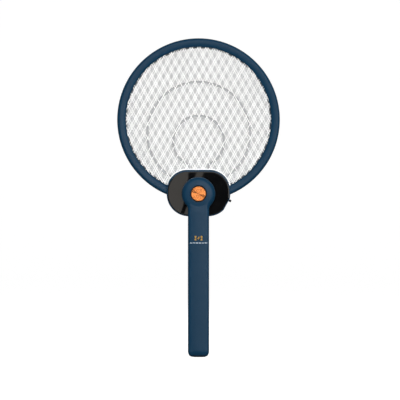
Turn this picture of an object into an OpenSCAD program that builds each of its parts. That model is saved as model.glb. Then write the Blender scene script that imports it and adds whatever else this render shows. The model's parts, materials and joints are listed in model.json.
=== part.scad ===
// Folding electric fly swatter: a hoop of wire nets on a flat electronics housing, and a handle
// whose round knuckle turns in front of that housing. Millimetres, +Z up, the net faces -Y.
// The origin lies under the handle's end, midway through the depth. Sub-parts are drawn about
// the fold pivot, with Y = 0 halfway between knuckle and fascia, and at_pivot() places them.

/* [Hoop] */
// Outer diameter of the hoop round the nets
ring_od = 228; // [186:1:280]
// Radial width of the hoop
ring_w = 12.2; // [10:0.1:16]
// Depth of the hoop, front to back
ring_t = 14; // [12:0.5:18]
// Corner radius of the hoop's section
ring_corner = 4; // [2:0.5:5]
// How far the hoop's lowest point reaches below the fold pivot
ring_sink = 10; // [6:0.5:14]
// Solid wall of the hoop outside the nets' edge
hoop_wall = 4; // [3:0.1:4.6]

/* [Nets] */
// Distance between neighbouring strands, measured across them
net_pitch = 9.65; // [8:0.05:14]
// Angle of the strands from level
net_angle = 61; // [45:1:70]
// Width and thickness of a strand
strand = 1; // [0.8:0.1:1.4]
// Thickness of the ribs that keep the nets apart
rib_t = 2.4; // [1.5:0.1:3]
// Width of the ribs
rib_w = 3.2; // [2:0.1:5]
// Radius of the tall arch rib, to its middle
tall_arch_r = 72; // [55:0.5:76]
// Height of the tall arch's centre above the pivot
tall_arch_z = 84.6; // [70:0.1:95]
// Radius of the low arch rib, to its middle
low_arch_r = 35.7; // [25:0.5:42]
// Height of the low arch's centre above the pivot
low_arch_z = 73.5; // [65:0.1:82]
// Distance between the low arch's two feet
arch_foot = 28; // [14:0.5:40]
// Strip of the nets' rim that shows round the housing
rim_show = 1.4; // [0.5:0.1:3]

/* [Housing] */
// Width of the electronics housing
housing_w = 89; // [84:0.5:108]
// Height of the housing's top edge above the pivot
housing_top = 33.6; // [32:0.1:44]
// Depth of the housing's bottom edge below the pivot
housing_bottom = 31.5; // [30:0.1:42]
// Depth of the housing, front to back
housing_d = 22; // [20:0.5:30]
// Radius of the housing's upper corners
upper_corner = 29; // [20:0.5:30]
// Radius of the housing's lower corners
lower_corner = 31; // [24:0.5:32]
// Wall of the housing shells
housing_wall = 2; // [1.6:0.1:2.6]
// Thickness of the glossy fascia plate
fascia_t = 1.6; // [1:0.1:2.5]
// Housing rim left round the fascia at its sides and foot
fascia_side = 1.2; // [0.8:0.1:1.6]
// Housing rim left over the fascia's top
fascia_top = 2.4; // [1.2:0.1:4]

/* [Handle] */
// Length from the fold pivot down to the handle's end
handle_l = 228; // [215:1:280]
// Wall of the handle shells
handle_wall = 2; // [1.6:0.1:2.4]
// Corner radius of the grip's section
handle_corner = 5.5; // [4:0.5:8]
// Diameter of the rechargeable cell
cell_d = 18.4; // [17:0.1:22.1]
// Length of the rechargeable cell
cell_l = 65; // [50:0.5:78]
// Room between the cell and the shells, front and back
cell_gap = 0.8; // [0.4:0.1:1.5]
// Room beside the cell for the leads
lead_room = 3.55; // [2.4:0.05:6]
// Thickness of the end cap
cap_t = 3; // [2:0.5:5]

/* [Knuckle] */
// Diameter of the knuckle
knuckle_d = 47; // [45:0.5:58]
// Rounding of the knuckle's edges
knuckle_edge = 5.5; // [3:0.5:7]
// Height of the knuckle's dome over the grip's front
knuckle_crown = 1.6; // [0.6:0.1:2.5]
// Fillet between the knuckle and the grip
knuckle_fillet = 10; // [5:0.5:16]
// Gap between the knuckle and the fascia
swing_gap = 0.6; // [0.4:0.1:1.2]

/* [Button] */
// Diameter of the orange button
button_d = 20.6; // [17:0.2:22]
// Travel of the button
button_travel = 1.5; // [1:0.1:1.8]
// How far the button stands over the knuckle round it
button_proud = 0.4; // [0:0.1:1]
// Gap round the button
button_gap = 0.3; // [0.2:0.05:0.6]
// Width of the dark ring round the button
bezel_w = 1; // [0.8:0.1:1.6]

/* [Pivot] */
// Diameter of the pivot spindle
spindle_d = 14; // [11:0.1:16.8]
// Bore of the spindle for the leads
spindle_bore = 8; // [5:0.1:8.4]
// Running clearance between spindle and bush
pivot_fit = 0.05; // [0.02:0.01:0.08]
// Wall of the bush
bush_wall = 2; // [1.5:0.1:2.5]

/* [Mode switch] */
// Angle of the switch's flat on the housing, below level
switch_tilt = 29; // [20:1:35]
// Depth of the flat cut into the lower corner
switch_flat = 1.3; // [0.8:0.1:2]
// Travel of the knob
switch_travel = 8; // [4:0.5:8.5]
// Width of the knob along its travel
knob_w = 3.4; // [2.6:0.1:4]
// How far the knob stands out
knob_proud = 3.5; // [2:0.1:5]

/* [Hidden] */
$fn = 64;
CUT = 1; // how far a cutting shape runs past the face that it opens
FAR = 300; // larger than any half of the object

// Hoop and nets
ring_r = ring_od / 2;
ring_in = ring_r - ring_w;
ring_z = ring_r - ring_sink; // the hoop's centre above the pivot
net_r = ring_r - hoop_wall;
rim_hold = 0.6; // how far the rim's inner edge hides behind the hoop's lip
net_play = 0.15; // room round the nets' edge in the hoop
net_step = strand + rib_t; // from one net to the next
stack_d = 3 * strand + 2 * rib_t;
cell_h = net_pitch / cos(net_angle); // height of one diamond of the net

// Depths, front to back
handle_d = cell_d + 2 * cell_gap + 2 * handle_wall;
handle_w = cell_d + 2 * lead_room + 2 * handle_wall;
face_y = swing_gap / 2; // front of the fascia
seat_y = face_y + fascia_t; // the fascia rests here
inner_y = seat_y + 1.5; // inside of the housing's front wall
mid_y = face_y + housing_d / 2; // middle of the housing, the hoop and the nets
back_y = face_y + housing_d;
grip_back = -swing_gap / 2;
grip_front = grip_back - handle_d;
seam_y = grip_back - handle_d / 2; // where the handle's shells meet

// Housing
net_tuck = housing_wall + 1.5; // the nets' rim reaches this far into the housing
upper_x = housing_w / 2 - upper_corner;
upper_z = housing_top - upper_corner;
lower_x = housing_w / 2 - lower_corner;
lower_z = lower_corner - housing_bottom;
flat_x = lower_x * cos(switch_tilt) - lower_z * sin(switch_tilt) + lower_corner - switch_flat;
flat_z = lower_x * sin(switch_tilt) + lower_z * cos(switch_tilt);
flat_half = sqrt(pow(lower_corner, 2) - pow(lower_corner - switch_flat, 2));

// Knuckle and button
knuckle_r = knuckle_d / 2;
button_r = button_d / 2;
bezel_in = button_r + button_gap;
seat_r = bezel_in + bezel_w;
dome_base = knuckle_r - knuckle_edge + 0.4;
dome_r = (pow(dome_base, 2) + pow(knuckle_crown, 2)) / (2 * knuckle_crown);
seat_h = sqrt(pow(dome_r, 2) - pow(seat_r, 2)) - dome_r + knuckle_crown;
button_y = grip_front - seat_h - button_proud; // the button's front
button_t = 1.2;
front_in = grip_front + handle_wall; // inside of the handle's front wall
flange_t = 1;
flange_r = seat_r + 0.6;
flange_y = front_in + button_gap; // front of the plunger's flange
board_t = 1.2;
press_gap = 0.05; // what is left between plunger and switch at full travel
press_stem = 0.6;
press_body = 3.5;
press_r = 1.7;
press_w = 6.2;
pocket_r = 5.2; // hollow of the plunger over the switch
pocket_floor = flange_y - 0.15;
stem_y = pocket_floor + button_travel + press_gap; // front of the press switch's stem
board_y = stem_y + press_stem + press_body; // front of the switch board
post_r = 2.2;
post_ring = flange_r + post_r + 0.6;
post_angles = [30, 150, 270];
switch_board_r = post_ring + post_r + 0.3;
spring_r = 7.8;
spring_wire = 0.35;

// Pivot
spindle_r = spindle_d / 2;
bush_in = spindle_r + pivot_fit;
bush_out = bush_in + bush_wall;
bush_l = 6; // from the knuckle's back face
collar_y = grip_back - bush_l; // the bush's collar rests here
collar_t = 1.3;
washer_gap = 0.1;
washer_t = 0.4;
washer_y = collar_y - collar_t - washer_gap - washer_t;
nut_t = 2;
nut_y = washer_y - nut_t;
nut_af = spindle_d + 7;
spindle_end = nut_y - 0.8;
spindle_flange = spindle_r + 6;
pad_y = inner_y + 1.5; // back of the thicker pad that the spindle's flange rests on
flange_back = pad_y + 2;

// Screws
screw_r = 1.1;
screw_gap = 0.25;
screw_head_r = 2.3;
screw_head_t = 1.5;
boss_r = 3.7;
head_sink = 2.6; // from a shell's back to the seat of a screw's head

// Places of the handle's contents, below the pivot
cell_top = -48;
handle_screw_z = [-38, cell_top - cell_l - 10, -handle_l + 46];
charge_board_top = -handle_l + 36;
charge_board_foot = -handle_l + cap_t + 0.5;
charge_board_w = 2 * (handle_w / 2 - handle_wall - 1.75);
socket_w = 8.94;
socket_h = 3.26;
socket_l = 7.35;
lead_r = 0.6;
lead_x = charge_board_w / 2 + lead_r;

// Places of the housing's contents
head_bosses = [
  [upper_x + 17.5, upper_z + 9.4], [-upper_x - 17.5, upper_z + 9.4],
  [lower_x + 12.5, lower_z - 18.5], [-lower_x - 12.5, lower_z - 18.5]];
hv_board = [[-27.5, -14], [27.5, 25]];
hv_board_y = back_y - housing_wall - 1.9 - 1.4; // front of the high-voltage board
hv_board_t = 1.4;
hv_screws = [[-24, 4], [24, 4]];

// Mode switch, in its own frame: X out of the flat, Z up along it
wall_in = flat_x - housing_wall;
knob_rest = flat_z + flat_half - knob_w / 2 - 0.45;
slot_top = knob_rest + knob_w / 2 + 0.3;
slot_low = knob_rest - switch_travel - knob_w / 2 - 0.3;
stem_half = 1.7; // half the knob's stem across the travel
slot_half = stem_half + 0.3;

y_shift = (-button_y - back_y) / 2;

// Helpers ------------------------------------------------------------------------------------

// Moves a sub-part from the pivot's frame to its place
module at_pivot() {
  translate([0, y_shift, handle_l]) children();
}

// Extrudes an outline drawn in X and Z from y1 to y2
module slab(y1, y2) {
  translate([0, y2, 0]) rotate([90, 0, 0]) linear_extrude(y2 - y1) children();
}

// A cylinder along Y at [x, z], from y1 to y2
module rod(x, z, r, y1, y2) {
  translate([x, y1, z]) rotate([-90, 0, 0]) cylinder(r = r, h = y2 - y1);
}

// A box from one corner to the other
module block(low, high) {
  translate(low) cube(high - low);
}

// A rectangle with round corners, from the corner [x, y]
module rounded(x, y, w, h, r) {
  translate([x + r, y]) square([w - 2 * r, h]);
  translate([x, y + r]) square([w, h - 2 * r]);
  for (cx = [x + r, x + w - r], cy = [y + r, y + h - r]) translate([cx, cy]) circle(r);
}

// Turns an outline of radius and depth about the Y axis
module turned() {
  rotate([-90, 0, 0]) rotate_extrude() children();
}

// A tube swept along points that lie in one plane; side is that plane's normal
function unit(v) = v / norm(v);
function heading(p, i) =
  i == 0 ? unit(p[1] - p[0])
  : i == len(p) - 1 ? unit(p[i] - p[i - 1])
  : unit(unit(p[i] - p[i - 1]) + unit(p[i + 1] - p[i]));
module tube(p, r, side, n = 8) {
  rings = [for (i = [0 : len(p) - 1], k = [0 : n - 1])
    let (t = heading(p, i), s = unit(is_undef(side[i][0]) ? side : side[i]), u = cross(t, s))
    p[i] + r * (cos(360 * k / n) * s + sin(360 * k / n) * u)];
  last = (len(p) - 1) * n;
  walls = [for (i = [0 : len(p) - 2], k = [0 : n - 1])
    [i * n + k, i * n + (k + 1) % n, (i + 1) * n + (k + 1) % n, (i + 1) * n + k]];
  start = [for (k = [n - 1 : -1 : 0]) k];
  end = [for (k = [0 : n - 1]) last + k];
  polyhedron(points = rings, faces = concat(walls, [start, end]), convexity = 4);
}

// Outlines in X and Z, about the pivot -------------------------------------------------------

// The housing's outline, drawn in by side at its flanks and foot and by top at its top
module housing_outline(side = 0, top = 0) {
  drop = top - side;
  ru = upper_corner - side;
  rl = lower_corner - side;
  difference() {
    union() {
      for (s = [-1, 1]) {
        translate([s * upper_x, upper_z - drop]) circle(ru);
        translate([s * lower_x, lower_z]) circle(rl);
      }
      translate([-upper_x, lower_z]) square([2 * upper_x, housing_top - top - lower_z]);
      translate([-lower_x, side - housing_bottom]) square([2 * lower_x, housing_bottom - side]);
      translate([side - housing_w / 2, lower_z])
        square([housing_w - 2 * side, upper_z - drop - lower_z]);
    }
    rotate(-switch_tilt) translate([flat_x - side, -FAR / 2]) square([FAR, FAR]);
  }
}

module hoop_disc(r) {
  translate([0, ring_z]) circle(r, $fn = 128);
}

// Everything that a net or a rib plate may cover
module net_region() {
  difference() {
    hoop_disc(net_r);
    housing_outline(net_tuck, net_tuck);
  }
}

// The window in the rim
module net_window() {
  difference() {
    hoop_disc(ring_in + rim_hold);
    housing_outline(-rim_show, -rim_show);
  }
}

// Both families of parallel strands; shift is a share of a diamond's height
module lattice(shift) {
  count = ceil(net_r / net_pitch) + 1;
  for (s = [-1, 1], i = [-count : count])
    translate([0, ring_z + shift * cell_h]) rotate(s * net_angle)
      translate([-net_r - cell_h, i * net_pitch - strand / 2])
        square([2 * (net_r + cell_h), strand]);
}

// Arch ribs over the window: the tall one runs into the housing, the low one stands on two feet
module arches() {
  translate([0, tall_arch_z]) difference() {
    circle(tall_arch_r + rib_w / 2);
    circle(tall_arch_r - rib_w / 2);
  }
  foot_z = low_arch_z - sqrt(pow(low_arch_r, 2) - pow(arch_foot / 2, 2));
  difference() {
    translate([0, low_arch_z]) difference() {
      circle(low_arch_r + rib_w / 2);
      circle(low_arch_r - rib_w / 2);
    }
    translate([-arch_foot / 2, 0]) square([arch_foot, foot_z + rib_w]);
  }
  for (s = [-1, 1]) translate([s * arch_foot / 2 - rib_w / 2, 0]) square([rib_w, foot_z + rib_w / 2]);
}

// The fillet between knuckle and grip, on both sides; h is the grip's half width
module fillets(r, h, f) {
  cx = h + f;
  cz = -sqrt(pow(r + f, 2) - pow(cx, 2));
  for (s = [-1, 1]) difference() {
    polygon([[0, 0], [s * cx, cz], [0, cz]]);
    translate([s * cx, cz]) circle(f);
  }
}

// Handle -------------------------------------------------------------------------------------

module grip_section(inset = 0) {
  r = handle_corner - inset;
  rounded(inset - handle_w / 2, grip_front + inset, handle_w - 2 * inset, handle_d - 2 * inset, r);
}

// The handle's body, drawn in by inset
module handle_form(inset, foot, ease) {
  translate([0, 0, foot]) linear_extrude(-foot) grip_section(inset);
  turned() intersection() {
    rounded(inset - knuckle_r, grip_front + inset, knuckle_d - 2 * inset, handle_d - 2 * inset,
      knuckle_edge - inset);
    translate([0, -FAR / 2]) square(FAR);
  }
  slab(grip_front + inset + ease, grip_back - inset - ease)
    fillets(knuckle_r - inset, handle_w / 2 - inset, knuckle_fillet + inset);
}

module knuckle_dome() {
  intersection() {
    translate([0, grip_front + dome_r - knuckle_crown, 0]) sphere(dome_r, $fn = 96);
    rod(0, 0, dome_base, grip_front - knuckle_crown - CUT, grip_front + handle_wall);
  }
}

module handle_solid() {
  handle_form(0, cap_t - handle_l, 1.2);
}

module handle_hollow() {
  handle_form(handle_wall, cap_t - handle_l - CUT, 0.4);
}

// Round bosses for the shell screws, from y1 to y2
module handle_bosses(y1, y2) {
  for (z = handle_screw_z) rod(0, z, boss_r, y1, y2);
}

// One screw along Y with its head towards +Y, seated at y
module shell_screw(x, z, y, tip) {
  rod(x, z, screw_head_r, y, y + screw_head_t);
  rod(x, z, screw_r, tip, y);
}

// Cross-ribs that cradle the cell, between y1 and y2
module cell_cradle(y1, y2) {
  w = handle_w / 2 - handle_wall;
  for (z = [cell_top - 12, cell_top - cell_l + 12]) difference() {
    block([-w, y1, z - 0.8], [w, y2, z + 0.8]);
    translate([0, seam_y, z - CUT]) cylinder(r = cell_d / 2, h = 2 * CUT);
    for (s = [-1, 1]) translate([s * lead_x, seam_y, z]) cube([3 * lead_r, 3 * lead_r, 3], center = true);
  }
}

module handle_front_shell() {
  color("#1f3a56") at_pivot() difference() {
    union() {
      difference() {
        intersection() {
          union() {
            handle_solid();
            knuckle_dome();
          }
          block([-FAR, -FAR, -FAR], [FAR, seam_y, FAR]);
        }
        handle_hollow();
      }
      handle_bosses(front_in - 0.5, seam_y);
      cell_cradle(front_in - 0.5, seam_y - cell_d / 2 + 1.6);
      for (a = post_angles)
        rod(post_ring * cos(a), post_ring * sin(a), post_r, front_in - 0.5, board_y);
    }
    rod(0, 0, seat_r, grip_front - knuckle_crown - CUT, front_in + CUT);
    for (z = handle_screw_z) rod(0, z, screw_r, front_in + 2, seam_y + CUT);
    for (a = post_angles)
      rod(post_ring * cos(a), post_ring * sin(a), 0.8, board_y - 4, board_y + CUT);
  }
}

module handle_rear_shell() {
  color("#1f3a56") at_pivot() difference() {
    union() {
      difference() {
        intersection() {
          handle_solid();
          block([-FAR, seam_y, -FAR], [FAR, FAR, FAR]);
        }
        handle_hollow();
      }
      handle_bosses(seam_y, grip_back - handle_wall + 0.5);
      cell_cradle(seam_y + cell_d / 2 - 1.6, grip_back - handle_wall + 0.5);
      rod(0, 0, bush_out + 3, collar_y, grip_back - handle_wall + 0.5);
      for (z = [charge_board_foot + 9, charge_board_top - 5])
        block([-4, seam_y + socket_h / 2 + board_t, z - 0.8], [4, grip_back - handle_wall + 0.5, z + 0.8]);
    }
    rod(0, 0, bush_out, collar_y - CUT, grip_back + CUT);
    for (z = handle_screw_z) {
      rod(0, z, screw_r + screw_gap, seam_y - CUT, grip_back);
      rod(0, z, screw_head_r + screw_gap, grip_back - head_sink, grip_back + CUT);
    }
  }
}

module handle_end_cap() {
  color("#16283b") at_pivot() difference() {
    union() {
      translate([0, 0, -handle_l]) linear_extrude(cap_t) grip_section();
      translate([0, 0, cap_t - handle_l]) linear_extrude(3) difference() {
        grip_section(handle_wall + 0.1);
        grip_section(handle_wall + 1.3);
      }
    }
    translate([0, 0, -handle_l - CUT]) linear_extrude(cap_t + 2 * CUT)
      rounded(-socket_w / 2, seam_y - socket_h / 2, socket_w, socket_h, 1.4);
    translate([charge_board_w / 2 - 2.5, seam_y, -handle_l - CUT]) cylinder(r = 1, h = cap_t + 2 * CUT);
  }
}

module handle_screws() {
  color("#2b2b2e") at_pivot() for (z = handle_screw_z)
    shell_screw(0, z, grip_back - head_sink, front_in + 3);
}

module battery_cell() {
  color("#3f8f5a") at_pivot() {
    translate([0, seam_y, cell_top - cell_l]) cylinder(r = cell_d / 2, h = cell_l);
    translate([0, seam_y, cell_top]) cylinder(r = 3, h = 0.8);
  }
}

// A strip from each end of the cell to the lead beside it
module battery_tabs() {
  inner = lead_x - lead_r;
  color("#c9c9c4") at_pivot() {
    block([-3, seam_y - 3, cell_top + 0.8], [inner, seam_y + 3, cell_top + 1.1]);
    block([-inner, seam_y - 3, cell_top - cell_l - 0.3], [3, seam_y + 3, cell_top - cell_l]);
  }
}

module battery_leads() {
  top = -sqrt(max(1, pow(switch_board_r - 1.5, 2) - pow(lead_x, 2)));
  color("#b3261e") at_pivot() for (s = [-1, 1])
    tube([[s * lead_x, seam_y, charge_board_top - 6], [s * lead_x, seam_y, top - 4],
      [s * lead_x, seam_y - 0.8, top - 1], [s * lead_x, board_y + board_t, top]], lead_r, [1, 0, 0]);
}

module charging_board() {
  y = seam_y + socket_h / 2;
  color("#1d6b3c") at_pivot() {
    block([-charge_board_w / 2, y, charge_board_foot], [charge_board_w / 2, y + board_t, charge_board_top]);
    block([-3, y - 1.4, charge_board_top - 16], [3, y, charge_board_top - 11]);
    block([5, y - 1, charge_board_top - 20], [8, y, charge_board_top - 16]);
    block([-9, y - 2.6, charge_board_top - 22], [-5, y, charge_board_top - 18]);
  }
}

module charging_socket() {
  z = 0.3 - handle_l;
  color("#c2c4c8") at_pivot() translate([0, 0, z]) {
    difference() {
      linear_extrude(socket_l) rounded(-socket_w / 2, seam_y - socket_h / 2, socket_w, socket_h, 1.4);
      translate([0, 0, -CUT]) linear_extrude(socket_l - 0.5 + CUT)
        rounded(0.3 - socket_w / 2, seam_y - socket_h / 2 + 0.3, socket_w - 0.6, socket_h - 0.6, 1.1);
    }
    block([-3.3, seam_y - 0.35, 0.8], [3.3, seam_y + 0.35, socket_l - 0.3]);
  }
}

module charge_light() {
  color("#e8f2f0") at_pivot() translate([charge_board_w / 2 - 2.5, seam_y, -handle_l])
    cylinder(r = 1, h = cap_t + 4);
}

// Knuckle contents ---------------------------------------------------------------------------

module switch_board() {
  color("#1d6b3c") at_pivot() difference() {
    rod(0, 0, switch_board_r, board_y, board_y + board_t);
    for (a = post_angles)
      rod(post_ring * cos(a), post_ring * sin(a), 1, board_y - CUT, board_y + board_t + CUT);
  }
}

module switch_board_screws() {
  color("#b8b8bc") at_pivot() for (a = post_angles) {
    x = post_ring * cos(a);
    z = post_ring * sin(a);
    rod(x, z, 1.7, board_y + board_t, board_y + board_t + 1);
    rod(x, z, 0.8, board_y - 3.5, board_y + board_t);
  }
}

module press_switch() {
  color("#26262a") at_pivot() {
    block([-press_w / 2, board_y - press_body, -press_w / 2], [press_w / 2, board_y, press_w / 2]);
    rod(0, 0, press_r, stem_y, board_y - press_body);
  }
}

module button_spring() {
  turns = 3;
  steps = 14;
  y1 = flange_y + flange_t + spring_wire;
  y2 = board_y - spring_wire;
  angles = [for (i = [0 : turns * steps]) 360 * i / steps];
  path = [for (a = angles)
    [spring_r * cos(a), y1 + (y2 - y1) * a / (360 * turns), spring_r * sin(a)]];
  outward = [for (a = angles) [cos(a), 0, sin(a)]];
  color("#c9c9cc") at_pivot() tube(path, spring_wire, outward, 6);
}

module button_bezel() {
  color("#0d0f12") at_pivot() difference() {
    rod(0, 0, seat_r, grip_front - seat_h + 0.2, front_in);
    rod(0, 0, bezel_in, grip_front - seat_h - CUT, front_in + CUT);
  }
}

module pivot_bush() {
  color("#e6e2d6") at_pivot() difference() {
    union() {
      rod(0, 0, bush_out, collar_y, grip_back);
      rod(0, 0, bush_out + 2.4, collar_y - collar_t, collar_y);
    }
    rod(0, 0, bush_in, collar_y - collar_t - CUT, grip_back + CUT);
  }
}

module trigger_button() {
  color("#e8823f") at_pivot() rod(0, 0, button_r, button_y, button_y + button_t);
}

module button_plunger() {
  color("#2a2d31") at_pivot() difference() {
    union() {
      rod(0, 0, button_r - 0.6, button_y + button_t, flange_y + flange_t);
      rod(0, 0, flange_r, flange_y, flange_y + flange_t);
    }
    rod(0, 0, pocket_r, pocket_floor, flange_y + flange_t + CUT);
  }
}

// Head ---------------------------------------------------------------------------------------

module hoop() {
  translate([0, mid_y, ring_z]) turned()
    rounded(ring_in, -ring_t / 2, ring_w, ring_t, ring_corner);
}

module head_solid() {
  hoop();
  slab(face_y, back_y) housing_outline();
}

module head_hollow() {
  slab(inner_y, back_y - housing_wall) housing_outline(housing_wall, housing_wall);
  slab(face_y - CUT, seat_y) housing_outline(fascia_side, fascia_top);
  slab(mid_y - stack_d / 2, mid_y + stack_d / 2) hoop_disc(net_r + net_play);
}

module switch_slot() {
  rotate([0, switch_tilt, 0])
    block([wall_in - CUT, mid_y - slot_half, slot_low], [flat_x + CUT, mid_y + slot_half, slot_top]);
}

module head_front_shell() {
  color("#1f3a56") at_pivot() difference() {
    union() {
      difference() {
        intersection() {
          head_solid();
          block([-FAR, -FAR, -FAR], [FAR, mid_y, FAR]);
        }
        head_hollow();
      }
      for (p = head_bosses) rod(p[0], p[1], boss_r, inner_y - 0.5, mid_y);
      rod(0, 0, spindle_flange + 1, inner_y - 0.5, pad_y);
    }
    switch_slot();
    rod(0, 0, spindle_r, face_y, pad_y + CUT);
    for (p = head_bosses) rod(p[0], p[1], screw_r, inner_y + 1, mid_y + CUT);
    for (a = [0, 120, 240]) {
      x = (spindle_r + 3) * cos(a);
      z = (spindle_r + 3) * sin(a);
      rod(x, z, screw_r, seat_y, pad_y + CUT);
      rod(x, z, 2.1, seat_y - CUT, seat_y + 1.4);
    }
  }
}

module head_rear_shell() {
  color("#1f3a56") at_pivot() difference() {
    union() {
      difference() {
        intersection() {
          head_solid();
          block([-FAR, mid_y, -FAR], [FAR, FAR, FAR]);
        }
        head_hollow();
      }
      for (p = head_bosses) rod(p[0], p[1], boss_r, mid_y, back_y - housing_wall + 0.5);
      for (p = hv_screws) rod(p[0], p[1], 2.4, hv_board_y + hv_board_t, back_y - housing_wall + 0.5);
    }
    switch_slot();
    for (p = head_bosses) {
      rod(p[0], p[1], screw_r + screw_gap, mid_y - CUT, back_y);
      rod(p[0], p[1], screw_head_r + screw_gap, back_y - head_sink, back_y + CUT);
    }
    for (p = hv_screws) rod(p[0], p[1], 0.8, hv_board_y, hv_board_y + hv_board_t + 3);
  }
}

module head_screws() {
  color("#2b2b2e") at_pivot() for (p = head_bosses)
    shell_screw(p[0], p[1], back_y - head_sink, inner_y + 2);
}

module front_fascia() {
  color("#141517") at_pivot() difference() {
    slab(face_y, seat_y) housing_outline(fascia_side + 0.1, fascia_top + 0.1);
    rod(0, 0, spindle_r + 0.4, face_y - CUT, seat_y + CUT);
  }
}

// One net: strands and rim; layer is -1 in front, 0 in the middle and 1 behind
module net(layer) {
  y = mid_y + layer * net_step;
  slab(y - strand / 2, y + strand / 2) {
    difference() {
      net_region();
      net_window();
    }
    intersection() {
      net_region();
      lattice(layer / 3);
    }
  }
}

// One plate of insulating ribs between two nets
module ribs(layer) {
  y = mid_y + layer * net_step / 2;
  slab(y - rib_t / 2, y + rib_t / 2) {
    difference() {
      net_region();
      net_window();
    }
    intersection() {
      net_region();
      arches();
    }
  }
}

module front_net() {
  color("#f4f4f2") at_pivot() net(-1);
}

module high_voltage_net() {
  color("#dcdcda") at_pivot() net(0);
}

module rear_net() {
  color("#ededeb") at_pivot() net(1);
}

module front_ribs() {
  color("#c4c5c6") at_pivot() ribs(-1);
}

module rear_ribs() {
  color("#c4c5c6") at_pivot() ribs(1);
}

module pivot_spindle() {
  color("#a9abae") at_pivot() difference() {
    union() {
      rod(0, 0, spindle_r, spindle_end, pad_y);
      rod(0, 0, spindle_flange, pad_y, flange_back);
    }
    rod(0, 0, spindle_bore / 2, spindle_end - CUT, flange_back + CUT);
    for (a = [0, 120, 240])
      rod((spindle_r + 3) * cos(a), (spindle_r + 3) * sin(a), screw_r, pad_y - CUT, flange_back + CUT);
  }
}

module spindle_screws() {
  color("#b8b8bc") at_pivot() for (a = [0, 120, 240]) {
    x = (spindle_r + 3) * cos(a);
    z = (spindle_r + 3) * sin(a);
    rod(x, z, 2, seat_y + 0.2, seat_y + 1.4);
    rod(x, z, screw_r, seat_y + 1.4, flange_back);
  }
}

module spindle_nut() {
  color("#8d8f92") at_pivot() translate([0, nut_y, 0]) rotate([-90, 0, 0]) difference() {
    cylinder(r = nut_af / 2 / cos(30), h = nut_t, $fn = 6);
    translate([0, 0, -CUT]) cylinder(r = spindle_r, h = nut_t + 2 * CUT);
  }
}

module friction_washer() {
  color("#c9c9cc") at_pivot() difference() {
    rod(0, 0, bush_out + 1.6, washer_y, washer_y + washer_t);
    rod(0, 0, spindle_r, washer_y - CUT, washer_y + washer_t + CUT);
  }
}

// Electronics --------------------------------------------------------------------------------

module voltage_board() {
  color("#1d6b3c") at_pivot() difference() {
    slab(hv_board_y, hv_board_y + hv_board_t) translate(hv_board[0]) square(hv_board[1] - hv_board[0]);
    for (p = hv_screws) rod(p[0], p[1], 1, hv_board_y - CUT, hv_board_y + hv_board_t + CUT);
  }
}

module board_screws() {
  color("#b8b8bc") at_pivot() for (p = hv_screws) {
    rod(p[0], p[1], 1.7, hv_board_y - 1, hv_board_y);
    rod(p[0], p[1], 0.8, hv_board_y, hv_board_y + hv_board_t + 2.5);
  }
}

module transformer() {
  color("#c7b35a") at_pivot() {
    block([-26, hv_board_y - 9, 9], [-14, hv_board_y, 21]);
    block([-24, hv_board_y - 11, 11], [-16, hv_board_y - 9, 19]);
  }
}

module storage_capacitor() {
  color("#9c3b2e") at_pivot() block([-8, hv_board_y - 8, 16], [7, hv_board_y, 22]);
}

module rectifier_diodes() {
  color("#2a2a2c") at_pivot() for (i = [0 : 3])
    translate([12 + 4 * i, hv_board_y - 1.3, 11]) cylinder(r = 1.3, h = 5.5);
}

module bleed_resistors() {
  color("#c8ab7c") at_pivot() for (i = [0 : 1])
    translate([-25 + 4 * i, hv_board_y - 1.2, -12]) cylinder(r = 1.2, h = 6.5);
}

module driver_transistor() {
  color("#222224") at_pivot() difference() {
    translate([20, hv_board_y - 6.5, -8]) rotate([-90, 0, 0]) cylinder(r = 2.4, h = 6.5);
    block([14, hv_board_y - 8, -12], [26, hv_board_y + CUT, -9.2]);
  }
}

// Pins from the board to the lower edge of each net's rim
module net_contacts() {
  rim_z = housing_top - net_tuck;
  foot_z = hv_board[1][1] - 1.5;
  color("#c9a24a") at_pivot() for (layer = [-1 : 1]) {
    y = mid_y + layer * net_step;
    x = 11 * layer + 1;
    translate([x - 0.5, y - 0.4, foot_z]) cube([1, 0.8, rim_z - foot_z]);
    translate([x - 0.5, y - 0.4, foot_z]) cube([1, hv_board_y - y + 0.4, 0.8]);
  }
}

module pivot_leads() {
  color("#b3261e") at_pivot() for (s = [-1, 1])
    tube([[s * 1.6, board_y + board_t + 0.3, 0], [s * 1.6, hv_board_y, 0]], lead_r, [1, 0, 0]);
}

// Mode switch --------------------------------------------------------------------------------

module mode_switch_body() {
  color("#26262a") at_pivot() rotate([0, switch_tilt, 0]) difference() {
    block([wall_in - 6.6, mid_y - 4, slot_low - 1.2], [wall_in - 0.6, mid_y + 4, slot_top - 0.1]);
    block([wall_in - 3.4, mid_y - slot_half, slot_low], [wall_in, mid_y + slot_half, slot_top - 0.9]);
  }
}

module mode_knob() {
  color("#111214") at_pivot() rotate([0, switch_tilt, 0]) {
    block([flat_x + 0.3, mid_y - 3.5, knob_rest - knob_w / 2],
      [flat_x + knob_proud, mid_y + 3.5, knob_rest + knob_w / 2]);
    block([wall_in - 3, mid_y - stem_half, knob_rest - knob_w / 2],
      [flat_x + 0.3, mid_y + stem_half, knob_rest + knob_w / 2 - 1.2]);
  }
}

handle_front_shell();
handle_rear_shell();
handle_end_cap();
handle_screws();
battery_cell();
battery_tabs();
battery_leads();
charging_board();
charging_socket();
charge_light();
switch_board();
switch_board_screws();
press_switch();
button_spring();
button_bezel();
pivot_bush();
trigger_button();
button_plunger();
head_front_shell();
head_rear_shell();
head_screws();
front_fascia();
front_net();
high_voltage_net();
rear_net();
front_ribs();
rear_ribs();
pivot_spindle();
spindle_screws();
spindle_nut();
friction_washer();
voltage_board();
board_screws();
transformer();
storage_capacitor();
rectifier_diodes();
bleed_resistors();
driver_transistor();
net_contacts();
pivot_leads();
mode_switch_body();
mode_knob();
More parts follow.
